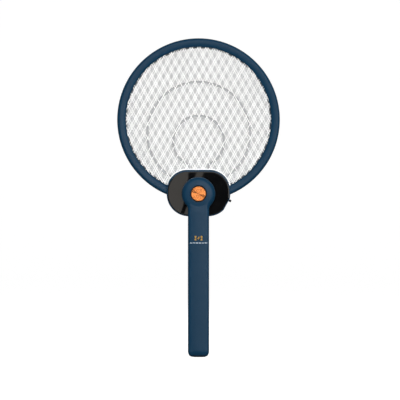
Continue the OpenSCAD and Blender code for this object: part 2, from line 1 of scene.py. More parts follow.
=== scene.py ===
"""Looks of a folding electric fly swatter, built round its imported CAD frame."""

import json
import math
from math import cos, pi, radians, sin

import bmesh
import bpy
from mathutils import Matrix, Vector


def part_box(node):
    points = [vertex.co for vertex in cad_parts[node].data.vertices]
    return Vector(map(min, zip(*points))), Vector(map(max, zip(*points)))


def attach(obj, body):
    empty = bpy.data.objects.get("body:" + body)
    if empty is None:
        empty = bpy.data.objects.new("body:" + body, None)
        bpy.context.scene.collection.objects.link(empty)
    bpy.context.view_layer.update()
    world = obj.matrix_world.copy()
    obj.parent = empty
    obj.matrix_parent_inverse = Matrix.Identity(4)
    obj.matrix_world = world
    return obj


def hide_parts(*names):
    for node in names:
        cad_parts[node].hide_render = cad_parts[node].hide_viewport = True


bl_info = {
    "name": "Folding Fly Swatter Looks",
    "version": (1, 0, 0),
    "blender": (4, 5, 0),
    "location": "View3D > Sidebar > Swatter",
    "description": "Shells, nets, screws and finishes of a folding electric fly swatter",
    "category": "Object",
}

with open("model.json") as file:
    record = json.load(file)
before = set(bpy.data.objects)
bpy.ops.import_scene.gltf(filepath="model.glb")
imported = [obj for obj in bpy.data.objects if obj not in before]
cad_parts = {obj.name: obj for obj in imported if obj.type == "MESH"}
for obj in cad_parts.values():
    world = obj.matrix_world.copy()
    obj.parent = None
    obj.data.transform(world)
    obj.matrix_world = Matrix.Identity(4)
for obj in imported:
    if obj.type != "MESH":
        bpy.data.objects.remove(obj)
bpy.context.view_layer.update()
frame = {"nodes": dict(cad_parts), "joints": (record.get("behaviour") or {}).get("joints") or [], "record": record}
JOINTS = {joint["name"]: joint for joint in frame["joints"]}
PIVOT_Z = JOINTS["head_fold"]["pos_m"][2] * 1000
TILT_SIN = -JOINTS["mode_slide"]["axis"][0]
TILT_COS = cos(math.asin(TILT_SIN))
MM = 0.001

# Shapes are drawn in millimetres, with X and Z about the fold pivot and Y in the frame


def span(node):
    """Lowest and highest corner of a CAD node."""
    low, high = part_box(node)
    lift = Vector((0, 0, PIVOT_Z))
    return low * 1000 - lift, high * 1000 - lift


def tilted_span(node):
    """Like span, in the mode switch's frame: X out of its flat, Z up along it."""
    turned = []
    for vertex in frame["nodes"][node].data.vertices:
        x, y, z = vertex.co * 1000 - Vector((0, 0, PIVOT_Z))
        turned.append((x * TILT_COS - z * TILT_SIN, y, x * TILT_SIN + z * TILT_COS))
    return [min(axis) for axis in zip(*turned)], [max(axis) for axis in zip(*turned)]


def untilt(point):
    """From the mode switch's frame back to the pivot's."""
    x, y, z = point
    return x * TILT_COS + z * TILT_SIN, y, z * TILT_COS - x * TILT_SIN


HANDLE_LOW, HANDLE_HIGH = span("handle_front_shell")
CAP_LOW, CAP_HIGH = span("handle_end_cap")
HEAD_LOW, HEAD_HIGH = span("head_front_shell")
FASCIA_HIGH = span("front_fascia")[1]
BUTTON_LOW, BUTTON_HIGH = span("trigger_button")
BEZEL_LOW, BEZEL_HIGH = span("button_bezel")
KNOB_LOW, KNOB_HIGH = tilted_span("mode_knob")
SLOT_LOW, SLOT_HIGH = tilted_span("mode_switch_body")

KNUCKLE_R = HANDLE_HIGH.x
GRIP_HALF = CAP_HIGH.x
GRIP_FRONT = CAP_LOW.y
GRIP_BACK = CAP_HIGH.y
SEAM_Y = HANDLE_HIGH.y
FOOT_Z = HANDLE_LOW.z
GROUND_Z = CAP_LOW.z
RING_R = HEAD_HIGH.x
RING_Z = HEAD_HIGH.z - RING_R
FACE_Y = HEAD_LOW.y
MID_Y = HEAD_HIGH.y
BACK_Y = span("head_rear_shell")[1].y
SEAT_Y = FASCIA_HIGH.y
HOUSING_HALF = FASCIA_HIGH.x + 1.3
HOUSING_TOP = FASCIA_HIGH.z + 2.5
HOUSING_FOOT = HEAD_LOW.z
UPPER_R = 29.0
LOWER_R = 31.0
KNUCKLE_FILLET = 10.0
SWITCH_FLAT = 1.3
BUTTON_R = BUTTON_HIGH.x
BEZEL_R = BEZEL_HIGH.x
BUSH_R = 9.05
NET_STEP = 3.4
NET_R = 110.0
STACK_HALF = 3.9
HOOP_IN = 101.8
RIM_IN = 102.4
NET_PITCH = 9.65
NET_ANGLE = radians(61)
SCREW_SINK = 2.6
WALL = 2.0
KNUCKLE_SLOPE = 9
HOOP_HALF = 7.0
HOOP_SLOPE = (8.4, 2.7)
REAR_LIP = 1.7
WIRE_REACH = 107.0
SCREEN_GAP = 0.62
RIB_TALL = (72.0, 84.6)
RIB_LOW = (35.7, 73.5)
RIB_FOOT = (14.0, 29.0)


# Mesh helpers


def place(point):
    return (point[0] * MM, point[1] * MM, (point[2] + PIVOT_Z) * MM)


def arc(steps, start, stop):
    """Angles from start to stop, in degrees, both ends included."""
    return [radians(start + (stop - start) * i / steps) for i in range(steps + 1)]


def circle(steps):
    """Angles once round, the last left out."""
    return arc(steps, 0, 360)[:-1]


def spoke(a, r, y, z=0.0, x=0.0):
    """The point at radius r and angle a from the Y axis through x and z."""
    return x + r * cos(a), y, z + r * sin(a)


def round_ring(y, r, steps=288, x=0.0, z=0.0):
    return [spoke(a, r, y, z, x) for a in circle(steps)]


CORNERS = ((1, -1, 270), (1, 1, 0), (-1, 1, 90), (-1, -1, 180))


def rounded(half_x, half_y, radii, steps=8):
    """A rectangle with round corners: front right, back right, back left and front left."""
    points = []
    for (sx, sy, start), r in zip(CORNERS, radii):
        for a in arc(steps, start, start + 90):
            points.append((sx * (half_x - r) + r * cos(a), sy * (half_y - r) + r * sin(a)))
    return points


def soften(data, smooth=32):
    data.shade_smooth()
    data.set_sharp_from_angle(angle=radians(smooth))


def add_object(name, data):
    piece = bpy.data.objects.new(name, data)
    bpy.context.scene.collection.objects.link(piece)
    return piece


def discard(pieces):
    for piece in pieces:
        data = piece.data
        bpy.data.objects.remove(piece)
        bpy.data.meshes.remove(data)


class Skin:
    """Rings of points, joined with faces."""

    def __init__(self):
        self.points = []
        self.faces = []

    def ring(self, points):
        first = len(self.points)
        self.points.extend(points)
        return list(range(first, len(self.points)))

    def join(self, a, b, closed=True):
        count = len(a)
        for i in range(count if closed else count - 1):
            j = (i + 1) % count
            self.faces.append((a[i], a[j], b[j], b[i]))

    def chain(self, rings, closed=True):
        """Joins each ring to the next."""
        for a, b in zip(rings, rings[1:]):
            self.join(a, b, closed)

    def lid(self, ring):
        """A fan from the ring's middle."""
        middle = [sum(self.points[i][k] for i in ring) / len(ring) for k in range(3)]
        centre = self.ring([tuple(middle)])[0]
        for i, a in enumerate(ring):
            self.faces.append((a, ring[(i + 1) % len(ring)], centre))

    def sweep(self, sections, closed_path=False):
        """Joins closed sections along a path, with flat ends where the path is open."""
        rings = [self.ring(section) for section in sections]
        self.chain(rings)
        if closed_path:
            self.join(rings[-1], rings[0])
        else:
            self.faces += [tuple(rings[0]), tuple(reversed(rings[-1]))]

    def disc(self, profile, steps=96, x=0.0, z=0.0):
        """Turns an open outline whose two ends lie near the axis, and closes both ends."""
        rings = [self.ring(round_ring(y, r, steps, x, z)) for r, y in profile]
        self.chain(rings)
        self.lid(rings[0])
        self.lid(rings[-1])

    def build(self, name, smooth=32, to_place=place):
        """A mesh object with merged points, outward faces and soft shading."""
        data = bpy.data.meshes.new(name)
        data.from_pydata([to_place(p) for p in self.points], [], self.faces)
        work = bmesh.new()
        work.from_mesh(data)
        bmesh.ops.remove_doubles(work, verts=work.verts, dist=1e-6)
        bmesh.ops.dissolve_degenerate(work, dist=1e-7, edges=work.edges)
        bmesh.ops.recalc_face_normals(work, faces=work.faces)
        work.to_mesh(data)
        work.free()
        soften(data, smooth)
        return add_object(name, data)


def settle(piece, smooth=32):
    """Turns the piece's modifiers into a plain mesh."""
    depsgraph = bpy.context.evaluated_depsgraph_get()
    data = bpy.data.meshes.new_from_object(piece.evaluated_get(depsgraph))
    piece.modifiers.clear()
    piece.data = data
    soften(data, smooth)


def carve(piece, cutters):
    """Cuts the cutters out of the piece, and removes them."""
    for cutter in cutters:
        cut = piece.modifiers.new("cut", "BOOLEAN")
        cut.operation = "DIFFERENCE"
        cut.solver = "EXACT"
        cut.object = cutter
    settle(piece)
    discard(cutters)


def weld(name, pieces):
    """One object out of several, in the order given."""
    work = bmesh.new()
    for piece in pieces:
        work.from_mesh(piece.data)
    data = bpy.data.meshes.new(name)
    work.to_mesh(data)
    work.free()
    discard(pieces)
    soften(data)
    return add_object(name, data)


def hand_over(piece, body, slot, *nodes, paint=None):
    """Gives a finished piece its finish, made from the record slot unless a paint is given, puts it on its body
    and hides the CAD nodes it stands for.
    """
    piece.data.materials.clear()
    piece.data.materials.append(paint or finish(slot))
    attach(piece, body)
    if nodes:
        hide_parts(*nodes)


# Outlines


def inside_housing(x, z, side, top):
    """Whether a point lies in the housing's outline, drawn in by side and, at the top, by top."""
    if abs(x) > HOUSING_HALF - side or z > HOUSING_TOP - top or z < HOUSING_FOOT + side:
        return False
    upper_x = HOUSING_HALF - UPPER_R
    lower_x = HOUSING_HALF - LOWER_R
    upper_z = HOUSING_TOP - UPPER_R - (top - side)
    lower_z = HOUSING_FOOT + LOWER_R
    if abs(x) > upper_x and z > upper_z:
        if math.hypot(abs(x) - upper_x, z - upper_z) > UPPER_R - side:
            return False
    if abs(x) > lower_x and z < lower_z:
        if math.hypot(abs(x) - lower_x, z - lower_z) > LOWER_R - side:
            return False
    flat = lower_x * TILT_COS - lower_z * TILT_SIN + LOWER_R - SWITCH_FLAT
    return x * TILT_COS - z * TILT_SIN <= flat - side


def housing_reach(angle, side, top):
    """How far the outline lies from the pivot in one direction."""
    near = 0.0
    far = 80.0
    for _ in range(34):
        middle = (near + far) / 2
        if inside_housing(middle * cos(angle), middle * sin(angle), side, top):
            near = middle
        else:
            far = middle
    return near


def housing_ring(y, side=0.0, top=None, steps=288):
    top = side if top is None else top
    return [spoke(a, housing_reach(a, side, top), y) for a in circle(steps)]


ARC_STEPS = 72
FILLET_STEPS = 10
COLUMNS = 24


def handle_border():
    """Points round the handle from its foot up the left, over the knuckle and down the right.

    Each is x, z, the outward normal and how much it belongs to the knuckle.
    """
    cx = GRIP_HALF + KNUCKLE_FILLET
    cz = -math.sqrt((KNUCKLE_R + KNUCKLE_FILLET) ** 2 - cx * cx)
    meet = math.degrees(math.atan2(cz, cx))
    right = []
    for a in arc(ARC_STEPS // 2, 90, meet):
        right.append((KNUCKLE_R * cos(a), KNUCKLE_R * sin(a), cos(a), sin(a), 1.0))
    for i, a in enumerate(arc(FILLET_STEPS, meet + 180, 180)):
        if i:
            x = cx + KNUCKLE_FILLET * cos(a)
            z = cz + KNUCKLE_FILLET * sin(a)
            share = 1 - i / FILLET_STEPS
            right.append((x, z, -cos(a), -sin(a), share))
    levels = [cz - 4, cz - 12]
    levels += [cz - 12 - (cz - 12 - FOOT_Z - 9) * i / 14 for i in range(1, 15)]
    levels += [FOOT_Z + 7, FOOT_Z + 5, FOOT_Z + 3.6, FOOT_Z + 2.4, FOOT_Z + 1.4, FOOT_Z + 0.6, FOOT_Z]
    for z in levels:
        right.append((GRIP_HALF, z, 1.0, 0.0, 0.0))
    left = [(-x, z, -nx, nz, share) for x, z, nx, nz, share in reversed(right[1:])]
    return left + right


def foot_ease(z):
    """How far the handle's outside draws in towards its foot."""
    t = max(0.0, (FOOT_Z + 5.5 - z) / 5.5)
    return 1.5 * t * t


def handle_patch(skin, border, face, wall, grip_edge, knuckle_edge, crown, hole):
    """One side of a handle shell, from its seam to its face: rings, face rows and the hole's ring.

    Where crown isn't 0, the knuckle is domed and the grip slopes by crown at its sides.
    """
    way = 1.0 if face > SEAM_Y else -1.0
    face = face - way * wall
    rounds = 8
    rings = []
    for k in range(rounds + 3):
        ring = []
        for x, z, nx, nz, share in border:
            edge = grip_edge + (knuckle_edge - grip_edge) * share - wall
            last = 90 - (KNUCKLE_SLOPE * share + math.degrees(crown) * (1 - share) if crown else 0)
            if k == 0:
                draw, y = (0.25 if wall == 0 else 0.0), SEAM_Y
            elif k == 1:
                draw, y = 0.0, SEAM_Y + way * (0.3 if wall == 0 else 0.1)
            else:
                a = radians(last * (k - 2) / rounds)
                draw = edge * (1 - cos(a))
                y = face - way * edge * (1 - sin(a))
            draw += wall
            ease = foot_ease(z) if wall == 0 else 0.0
            y = SEAM_Y + (y - SEAM_Y) * (1 - ease / abs(face - SEAM_Y))
            draw += ease
            ring.append((x - nx * draw, y, z - nz * draw))
        rings.append(skin.ring(ring))
    skin.chain(rings, closed=False)

    # The knuckle's face, ring by ring, from the outline's arc to the hole
    count = len(border)
    first = next(i for i, p in enumerate(border) if p[4] == 1.0)
    last = count - 1 - first
    start = math.atan2(border[first][1], border[first][0])
    stop = math.atan2(border[last][1], border[last][0])
    rim_r = KNUCKLE_R - knuckle_edge
    below = [start + (stop - start + 2 * pi * (stop < start)) * i / COLUMNS for i in range(1, COLUMNS)]
    around = [math.atan2(p[1], p[0]) for p in border[first:last + 1]] + list(reversed(below))
    tilt = radians(KNUCKLE_SLOPE)
    edge = knuckle_edge - wall
    base = rim_r + edge * cos(pi / 2 - tilt)
    dome_r = base / sin(tilt)

    def rise(r):
        if not crown:
            return 0.0
        height = math.sqrt(dome_r * dome_r - r * r) - dome_r * cos(tilt)
        return height - edge * (1 - cos(tilt))

    radii = [rim_r]
    radii += [rim_r + (hole + 0.7 - rim_r) * i / 6 for i in range(1, 7)]
    radii += [hole + 0.32, hole + 0.08, hole]
    sinks = [0.0] * 7 + [0.04, 0.2, 0.5]
    polar = []
    for r, sink in zip(radii, sinks):
        y = face + way * (rise(r) - (sink if wall == 0 else 0.0))
        polar.append(skin.ring([spoke(a, r, y) for a in around]))
    skin.chain(polar)
    skin.join(rings[-1][first:last + 1], polar[0][:last - first + 1], closed=False)

    # The face below the knuckle, row by row, from the knuckle's arc down to the foot
    top = [polar[0][0]] + list(reversed(polar[0][last - first + 1:])) + [polar[0][last - first]]
    rows = [top]
    tops = [skin.points[i] for i in top]
    fall = tops[0][2]
    for j in range(FILLET_STEPS + 1 + (count - 1) // 2):
        left = first - j
        if left < 0:
            break
        a = skin.points[rings[-1][left]]
        b = skin.points[rings[-1][count - 1 - left]]
        t = min(1.0, j / (FILLET_STEPS + 3))
        bow = (b[0] - a[0]) / 4 * math.tan(crown / 2) * t * min(1.0, max(0.0, (a[2] - FOOT_Z) / 6))
        row = []
        for i in range(COLUMNS + 1):
            u = i / COLUMNS
            sag = (tops[i][2] - fall) * (1 - t)
            lift = bow * (1 - (2 * u - 1) ** 2) * 2
            row.append((a[0] + (b[0] - a[0]) * u, a[1] + way * lift, a[2] + sag))
        inner = skin.ring(row[1:-1])
        rows.append([rings[-1][left]] + inner + [rings[-1][count - 1 - left]])
    skin.chain(rows, closed=False)
    foot = [ring[0] for ring in rings] + rows[-1][1:-1] + [ring[-1] for ring in reversed(rings)]
    return rings[0], foot, polar[-1]


def handle_half(name, face, grip_edge, knuckle_edge, crown, hole):
    """A hollow half of the handle, open at its foot."""
    skin = Skin()
    border = handle_border()
    outer, inner = (
        handle_patch(skin, border, face, wall, grip_edge, knuckle_edge, crown, hole) for wall in (0.0, WALL)
    )
    for a, b, closed in zip(outer, inner, (False, False, True)):
        skin.join(a, b, closed)
    return skin.build(name)


# Shader groups


class Tree:
    """A node tree with short calls for its nodes and links."""

    def __init__(self, tree):
        self.tree = tree

    def feed(self, socket, value):
        """Sets a socket, or links it to another socket or to a node's first output."""
        if isinstance(value, bpy.types.Node):
            value = value.outputs[0]
        if isinstance(value, bpy.types.NodeSocket):
            self.tree.links.new(value, socket)
        elif value is not None:
            socket.default_value = value

    def add(self, kind, values=None, **settings):
        """A node with its settings, and its inputs fed by name or place."""
        node = self.tree.nodes.new(kind)
        for key, value in settings.items():
            setattr(node, key, value)
        for key, value in (values or {}).items():
            self.feed(node.inputs[key], value)
        return node

    def maths(self, operation, a, b=0.5, c=None):
        return self.add("ShaderNodeMath", {0: a, 1: b, 2: c}, operation=operation).outputs[0]

    def times(self, a, b):
        return self.maths("MULTIPLY", a, b)

    def weigh(self, a, a_share, b, b_share):
        return self.maths("MULTIPLY_ADD", a, a_share, self.times(b, b_share))

    def blend(self, share, a, b):
        return self.add("ShaderNodeMix", {0: share, 6: a, 7: b}, data_type="RGBA").outputs[2]

    def noise(self, position, scale, detail=3.0, rough=0.5):
        values = {"Vector": position, "Scale": scale, "Detail": detail, "Roughness": rough}
        return self.add("ShaderNodeTexNoise", values).outputs["Fac"]

    def ramp(self, value, low, high, start=0.0, stop=1.0):
        values = {"Value": value, "From Min": low, "From Max": high, "To Min": start, "To Max": stop}
        return self.add("ShaderNodeMapRange", values).outputs["Result"]


def new_group(family, name, inputs, outputs):
    """A node group, its tree and its sockets; inputs are (name, kind, default), outputs (name, kind)."""
    group = bpy.data.node_groups.new(name, family + "NodeTree")
    for label, kind, default in inputs:
        socket = group.interface.new_socket(label, in_out="INPUT", socket_type="NodeSocket" + kind)
        if default is not None:
            socket.default_value = default
    for label, kind in outputs:
        group.interface.new_socket(label, in_out="OUTPUT", socket_type="NodeSocket" + kind)
    tree = Tree(group)
    return group, tree, tree.add("NodeGroupInput").outputs, tree.add("NodeGroupOutput").inputs


PLACE_INPUT = ("Position", "Vector", None)
COLOR_INPUT = ("Color", "Color", (0.5, 0.5, 0.5, 1.0))


def make_grain_group():
    """Moulded grain: a fine pebbled height and a roughness that follows it."""
    inputs = [PLACE_INPUT, ("Grain Scale", "Float", 2600.0), ("Roughness", "Float", 0.5)]
    inputs.append(("Spread", "Float", 0.08))
    outputs = [("Height", "Float"), ("Roughness", "Float")]
    group, tree, given, out = new_group("Shader", "Moulded grain", inputs, outputs)
    where = given["Position"]
    scale = given["Grain Scale"]
    cells = tree.add("ShaderNodeTexVoronoi", {"Vector": where, "Scale": scale}, feature="SMOOTH_F1")
    fine = tree.noise(where, tree.times(scale, 2.3), 2.0)
    broad = tree.noise(where, 38.0, 4.0, 0.6)
    tree.feed(out["Height"], tree.weigh(cells.outputs["Distance"], 0.7, fine, 0.3))
    sway = tree.maths("SUBTRACT", tree.weigh(fine, 0.4, broad, 0.6), 0.5)
    drift = tree.times(sway, tree.times(given["Spread"], 3.0))
    tree.feed(out["Roughness"], tree.maths("ADD", given["Roughness"], drift))
    return group


def make_tone_group():
    """Tone drift: a colour that wanders a little lighter and darker, with faint specks."""
    inputs = [PLACE_INPUT, COLOR_INPUT, ("Drift", "Float", 0.1), ("Scale", "Float", 30.0)]
    group, tree, given, out = new_group("Shader", "Tone drift", inputs, [("Color", "Color")])
    broad = tree.noise(given["Position"], given["Scale"], 4.0, 0.55)
    speck = tree.noise(given["Position"], tree.times(given["Scale"], 45.0), 2.0)
    both = tree.maths("SUBTRACT", tree.weigh(broad, 0.7, speck, 0.3), 0.5)
    value = tree.times(tree.maths("MULTIPLY_ADD", both, given["Drift"], 0.5), 2.0)
    hue = tree.add("ShaderNodeHueSaturation", {"Value": value, "Color": given["Color"]})
    tree.feed(out["Color"], hue)
    return group


def make_rub_group():
    """Rubbed edges: lightens outer edges where a hand or a table polishes them."""
    inputs = [PLACE_INPUT, COLOR_INPUT]
    inputs += [("Rub Color", "Color", (0.6, 0.6, 0.6, 1.0)), ("Amount", "Float", 0.3)]
    outputs = [("Color", "Color"), ("Mask", "Float")]
    group, tree, given, out = new_group("Shader", "Rubbed edges", inputs, outputs)
    form = tree.add("ShaderNodeNewGeometry").outputs
    edge = tree.ramp(form["Pointiness"], 0.515, 0.58)
    patch = tree.ramp(tree.noise(given["Position"], 90.0, 5.0, 0.65), 0.42, 0.68)
    mask = tree.times(tree.times(edge, patch), given["Amount"])
    tree.feed(out["Color"], tree.blend(mask, given["Color"], given["Rub Color"]))
    tree.feed(out["Mask"], mask)
    return group


def make_dust_group():
    """Settled dust: a thin pale film in patches, thicker on what faces up."""
    inputs = [PLACE_INPUT, ("Facing", "Vector", None), COLOR_INPUT]
    inputs += [("Dust Color", "Color", (0.5, 0.48, 0.45, 1.0)), ("Amount", "Float", 0.05)]
    outputs = [("Color", "Color"), ("Film", "Float")]
    group, tree, given, out = new_group("Shader", "Settled dust", inputs, outputs)
    split = tree.add("ShaderNodeSeparateXYZ", {0: given["Facing"]})
    upward = tree.ramp(split.outputs["Z"], 0.1, 0.95, 0.35, 1.0)
    patch = tree.ramp(tree.noise(given["Position"], 60.0, 6.0, 0.7), 0.35, 0.75)
    film = tree.times(tree.times(upward, patch), given["Amount"])
    tree.feed(out["Color"], tree.blend(film, given["Color"], given["Dust Color"]))
    tree.feed(out["Film"], film)
    return group


def make_turned_group():
    """Turned metal: fine rings about a Y axis as height, with a roughness that varies round them."""
    inputs = [PLACE_INPUT, ("Rings", "Float", 3000.0), ("Roughness", "Float", 0.3), ("Sway", "Float", 0.18)]
    outputs = [("Height", "Float"), ("Roughness", "Float")]
    group, tree, given, out = new_group("Shader", "Turned metal", inputs, outputs)
    x, _, z = tree.add("ShaderNodeSeparateXYZ", {0: given["Position"]}).outputs
    radius = tree.maths("SQRT", tree.maths("ADD", tree.times(x, x), tree.times(z, z)))
    rings = tree.add("ShaderNodeCombineXYZ", {"X": radius}).outputs[0]
    tree.feed(out["Height"], tree.noise(rings, given["Rings"], 3.0, 0.7))
    patch = tree.noise(given["Position"], 220.0, 3.0)
    sway = tree.times(tree.maths("SUBTRACT", patch, 0.5), given["Sway"])
    tree.feed(out["Roughness"], tree.maths("ADD", given["Roughness"], sway))
    return group


MADE = {}


def once(kind, make, *values):
    """What make gives, made once for each kind."""
    if kind not in MADE:
        MADE[kind] = make(*values)
    return MADE[kind]


class Finish:
    """A material whose shader is fed by the shared groups."""

    def __init__(self, name, **constants):
        self.material = bpy.data.materials.new(name)
        self.material.use_nodes = True
        self.tree = Tree(self.material.node_tree)
        self.shader = next(n for n in self.material.node_tree.nodes if n.type == "BSDF_PRINCIPLED")
        for label, value in constants.items():
            self.shader.inputs[label.replace("_", " ")].default_value = value
        where = self.tree.add("ShaderNodeTexCoord").outputs
        self.position = where["Object"]
        self.facing = where["Normal"]

    def use(self, make, **values):
        """The outputs of a shared group, fed with values."""
        node = self.tree.add("ShaderNodeGroup", node_tree=once(make, make))
        self.tree.feed(node.inputs["Position"], self.position)
        for label, value in values.items():
            self.tree.feed(node.inputs[label.replace("_", " ")], value)
        return node.outputs

    def feed(self, label, value):
        self.tree.feed(self.shader.inputs[label], value)

    def tone(self, color, drift, scale):
        return self.use(make_tone_group, Color=rgba(color), Drift=drift, Scale=scale)["Color"]

    def dust(self, color, amount):
        return self.use(make_dust_group, Facing=self.facing, Color=color, Amount=amount)["Color"]

    def grain(self, scale, rough, strength=0.0, depth=0.0):
        grained = self.use(make_grain_group, Grain_Scale=scale, Roughness=rough)
        self.feed("Roughness", grained["Roughness"])
        if strength:
            self.bump(grained["Height"], strength, depth)

    def bump(self, height, strength, depth):
        values = {"Strength": strength, "Distance": depth, "Height": height}
        self.feed("Normal", self.tree.add("ShaderNodeBump", values))


def rgba(color):
    return (color[0], color[1], color[2], 1.0)


def moulded(name, color, rough, grain=2600.0, depth=0.00003, drift=0.12, rub=0.0, dust=0.0, **constants):
    """Moulded plastic: grain, tone drift and, where asked, rubbed edges and settled dust."""
    finish = Finish(name, **constants)
    result = finish.tone(color, drift, 28.0)
    if rub:
        lighter = rgba([min(1.0, c * 1.8 + 0.03) for c in color])
        result = finish.use(make_rub_group, Color=result, Rub_Color=lighter, Amount=rub)["Color"]
    if dust:
        result = finish.dust(result, dust)
    finish.feed("Base Color", result)
    finish.grain(grain, rough, 0.35, depth)
    return finish.material


def metal(name, color, rough, rings=3000.0, metallic=1.0, sway=0.18):
    """Plated or turned metal with fine lines, whose rings centre on the fold pivot."""
    finish = Finish(name, Metallic=metallic)
    values = {"Vector": finish.position, "Location": (0.0, 0.0, -PIVOT_Z * MM)}
    finish.position = finish.tree.add("ShaderNodeMapping", values).outputs[0]
    finish.feed("Base Color", finish.tone(color, 0.1, 60.0))
    lines = finish.use(make_turned_group, Rings=rings, Roughness=rough, Sway=sway)
    finish.feed("Roughness", lines["Roughness"])
    finish.bump(lines["Height"], 0.3, 0.00002)
    return finish.material


# Sizes and colours that a user would change


def length(name, text, default, low=0.0):
    return bpy.props.FloatProperty(
        name=name, description=text, default=default, min=low, precision=5, subtype="DISTANCE", unit="LENGTH"
    )


def colour(name, text, default):
    return bpy.props.FloatVectorProperty(
        name=name, description=text, default=default, size=3, min=0.0, max=1.0, subtype="COLOR"
    )


def share(name, text, default):
    return bpy.props.FloatProperty(name=name, description=text, default=default, min=0.0, subtype="FACTOR")


class HandleSettings(bpy.types.PropertyGroup):
    grip_edge: length("Grip Edge", "Rounding of the grip's front edges", 0.0036)
    knuckle_edge: length("Knuckle Edge", "Rounding of the knuckle's front edge", 0.0068)
    back_edge: length("Back Edge", "Rounding of the handle's back edges", 0.0046)
    shell: colour("Shell", "Colour of the moulded shells", (0.0034, 0.0246, 0.0525))
    shell_rough: share("Shell Roughness", "Roughness of the moulded shells", 0.32)
    button: colour("Button", "Colour of the anodised button", (0.98, 0.32, 0.09))
    groove_depth: length("Groove Depth", "Depth of the turned grooves in the button", 0.000034)
    grip_crown: bpy.props.FloatProperty(
        name="Grip Crown", description="Slope of the grip's front at its sides", default=radians(7),
        subtype="ANGLE", unit="ROTATION"
    )
    grooves: bpy.props.IntProperty(name="Grooves", description="Turned grooves in the button", default=22)
    mark: colour("Mark", "Colour of the bolt mark on the grip", (0.76, 0.46, 0.11))


class HeadSettings(bpy.types.PropertyGroup):
    hoop_corner: length("Hoop Corner", "Rounding of the hoop's corners", 0.004)
    rim_edge: length("Rim Edge", "Rounding of the housing's front rim", 0.0008)
    back_edge: length("Back Edge", "Rounding of the housing's back edge", 0.0026)
    crown: length("Fascia Crown", "How far the fascia's edge lies behind its middle", 0.00012)
    fascia: colour("Fascia", "Colour of the glossy fascia", (0.0022, 0.0023, 0.0027))
    knob_ridges: bpy.props.IntProperty(name="Knob Ridges", description="Ridges on the slide knob", default=3)


class NetSettings(bpy.types.PropertyGroup):
    wire_radius: length("Wire Radius", "Radius of a net's wire", 0.00052)
    wire_sides: bpy.props.IntProperty(name="Wire Sides", description="Faces round a wire", default=8, min=3)
    cross_lift: length("Crossing Lift", "Half the depth between crossing wires", 0.00018)
    coat: colour("Coat", "Colour of the front and middle nets' coat", (0.95, 0.95, 0.94))
    # The rear net's darker grey is painted shade on the same white-coated wire as the other nets
    inner: colour("Rear Wire", "Colour of the rear net", (0.6, 0.605, 0.61))
    # The fine screen is painted shade: a dark mesh that greys what shows through the nets
    screen: colour("Screen", "Colour of the fine screen on the rear net", (0.25, 0.255, 0.26))
    screen_pitch: length("Screen Pitch", "Distance between the screen's wires", 0.00092)
    screen_radius: length("Screen Wire Radius", "Radius of the screen's wires", 0.000125)
    phase_high: length("Phase High", "Height of a front-net crossing over the hoop's middle", 0.0041)
    phase_low: length("Phase Low", "Height of a middle-net crossing over the hoop's middle", -0.0015, -0.01)
    rib: colour("Rib", "Colour of the insulating ribs", (0.31, 0.315, 0.32))


def number(name, text, default):
    return bpy.props.FloatProperty(name=name, description=text, default=default, min=0.0)


class StageSettings(bpy.types.PropertyGroup):
    lens: bpy.props.FloatProperty(name="Lens", description="Camera lens", default=400.0, unit="CAMERA")
    view_width: length("View Width", "Width of the view at the object", 0.5597)
    aim_x: length("Aim Right", "How far right of the axis the camera aims", 0.0021)
    aim_z: length("Aim Height", "Height that the camera aims at", 0.2193)
    floor: colour("Floor", "Colour of floor and backdrop", (0.97, 0.97, 0.97))
    glow: share("Backdrop Glow", "Even light of floor and backdrop", 1.02)
    sky: share("Sky", "Strength of the even light from all sides", 0.06)
    front_power: number("Front Light", "Power of the large light in front", 101.0)
    top_power: number("Top Light", "Power of the top light", 8.0)
    side_power: number("Side Lights", "Power of each light beside", 24.0)
    back_power: number("Back Lights", "Power of each light behind", 60.0)
    ring_right: number("Ring Right", "Brightness of the right half of the ring softbox", 1.5)
    ring_left: number("Ring Left", "Brightness of the left half of the ring softbox", 0.2)


# Finishes


def board_finish():
    """Green solder mask with copper tracks that show through as lighter lines."""
    finish = Finish("Circuit board", Coat_Weight=0.4, Coat_Roughness=0.12)
    black = rgba((0.0, 0.0, 0.0))
    values = {"Vector": finish.position, "Scale": 260.0, "Mortar Size": 0.06}
    values.update({"Color1": black, "Color2": black, "Mortar": rgba((1.0, 1.0, 1.0))})
    tracks = finish.tree.add("ShaderNodeTexBrick", values).outputs
    green = finish.tone((0.018, 0.16, 0.06), 0.16, 50.0)
    finish.feed("Base Color", finish.tree.blend(tracks["Color"], green, (0.06, 0.36, 0.14, 1.0)))
    finish.grain(1800.0, 0.3)
    finish.bump(tracks["Fac"], 0.4, 0.00003)
    return finish.material


def banded_finish(name, color, band, scale):
    """A lacquered body with bands across it."""
    finish = Finish(name, Coat_Weight=0.5, Coat_Roughness=0.15)
    values = {"Vector": finish.position, "Scale": scale, "Distortion": 0.4}
    bands = finish.tree.add("ShaderNodeTexWave", values, bands_direction="Z")
    mask = finish.tree.ramp(bands.outputs["Fac"], 0.72, 0.8)
    finish.feed("Base Color", finish.tree.blend(mask, finish.tone(color, 0.14, 80.0), rgba(band)))
    finish.grain(1500.0, 0.34, 0.3, 0.00002)
    return finish.material


def fascia_finish(color):
    """Black gloss with faint wiping marks and a thin film of dust."""
    finish = Finish("Fascia gloss", Specular_IOR_Level=0.5)
    finish.feed("Base Color", finish.dust(rgba(color), 0.012))
    values = {"Vector": finish.position, "Scale": (1.0, 1.0, 0.22), "Rotation": (0.0, 0.5, 0.0)}
    stretch = finish.tree.add("ShaderNodeMapping", values).outputs[0]
    wipes = finish.tree.noise(stretch, 900.0, 5.0, 0.6)
    finish.feed("Roughness", finish.tree.ramp(wipes, 0.4, 0.8, 0.012, 0.035))
    finish.bump(finish.tree.noise(finish.position, 26.0, 1.0), 0.02, 0.0001)
    return finish.material


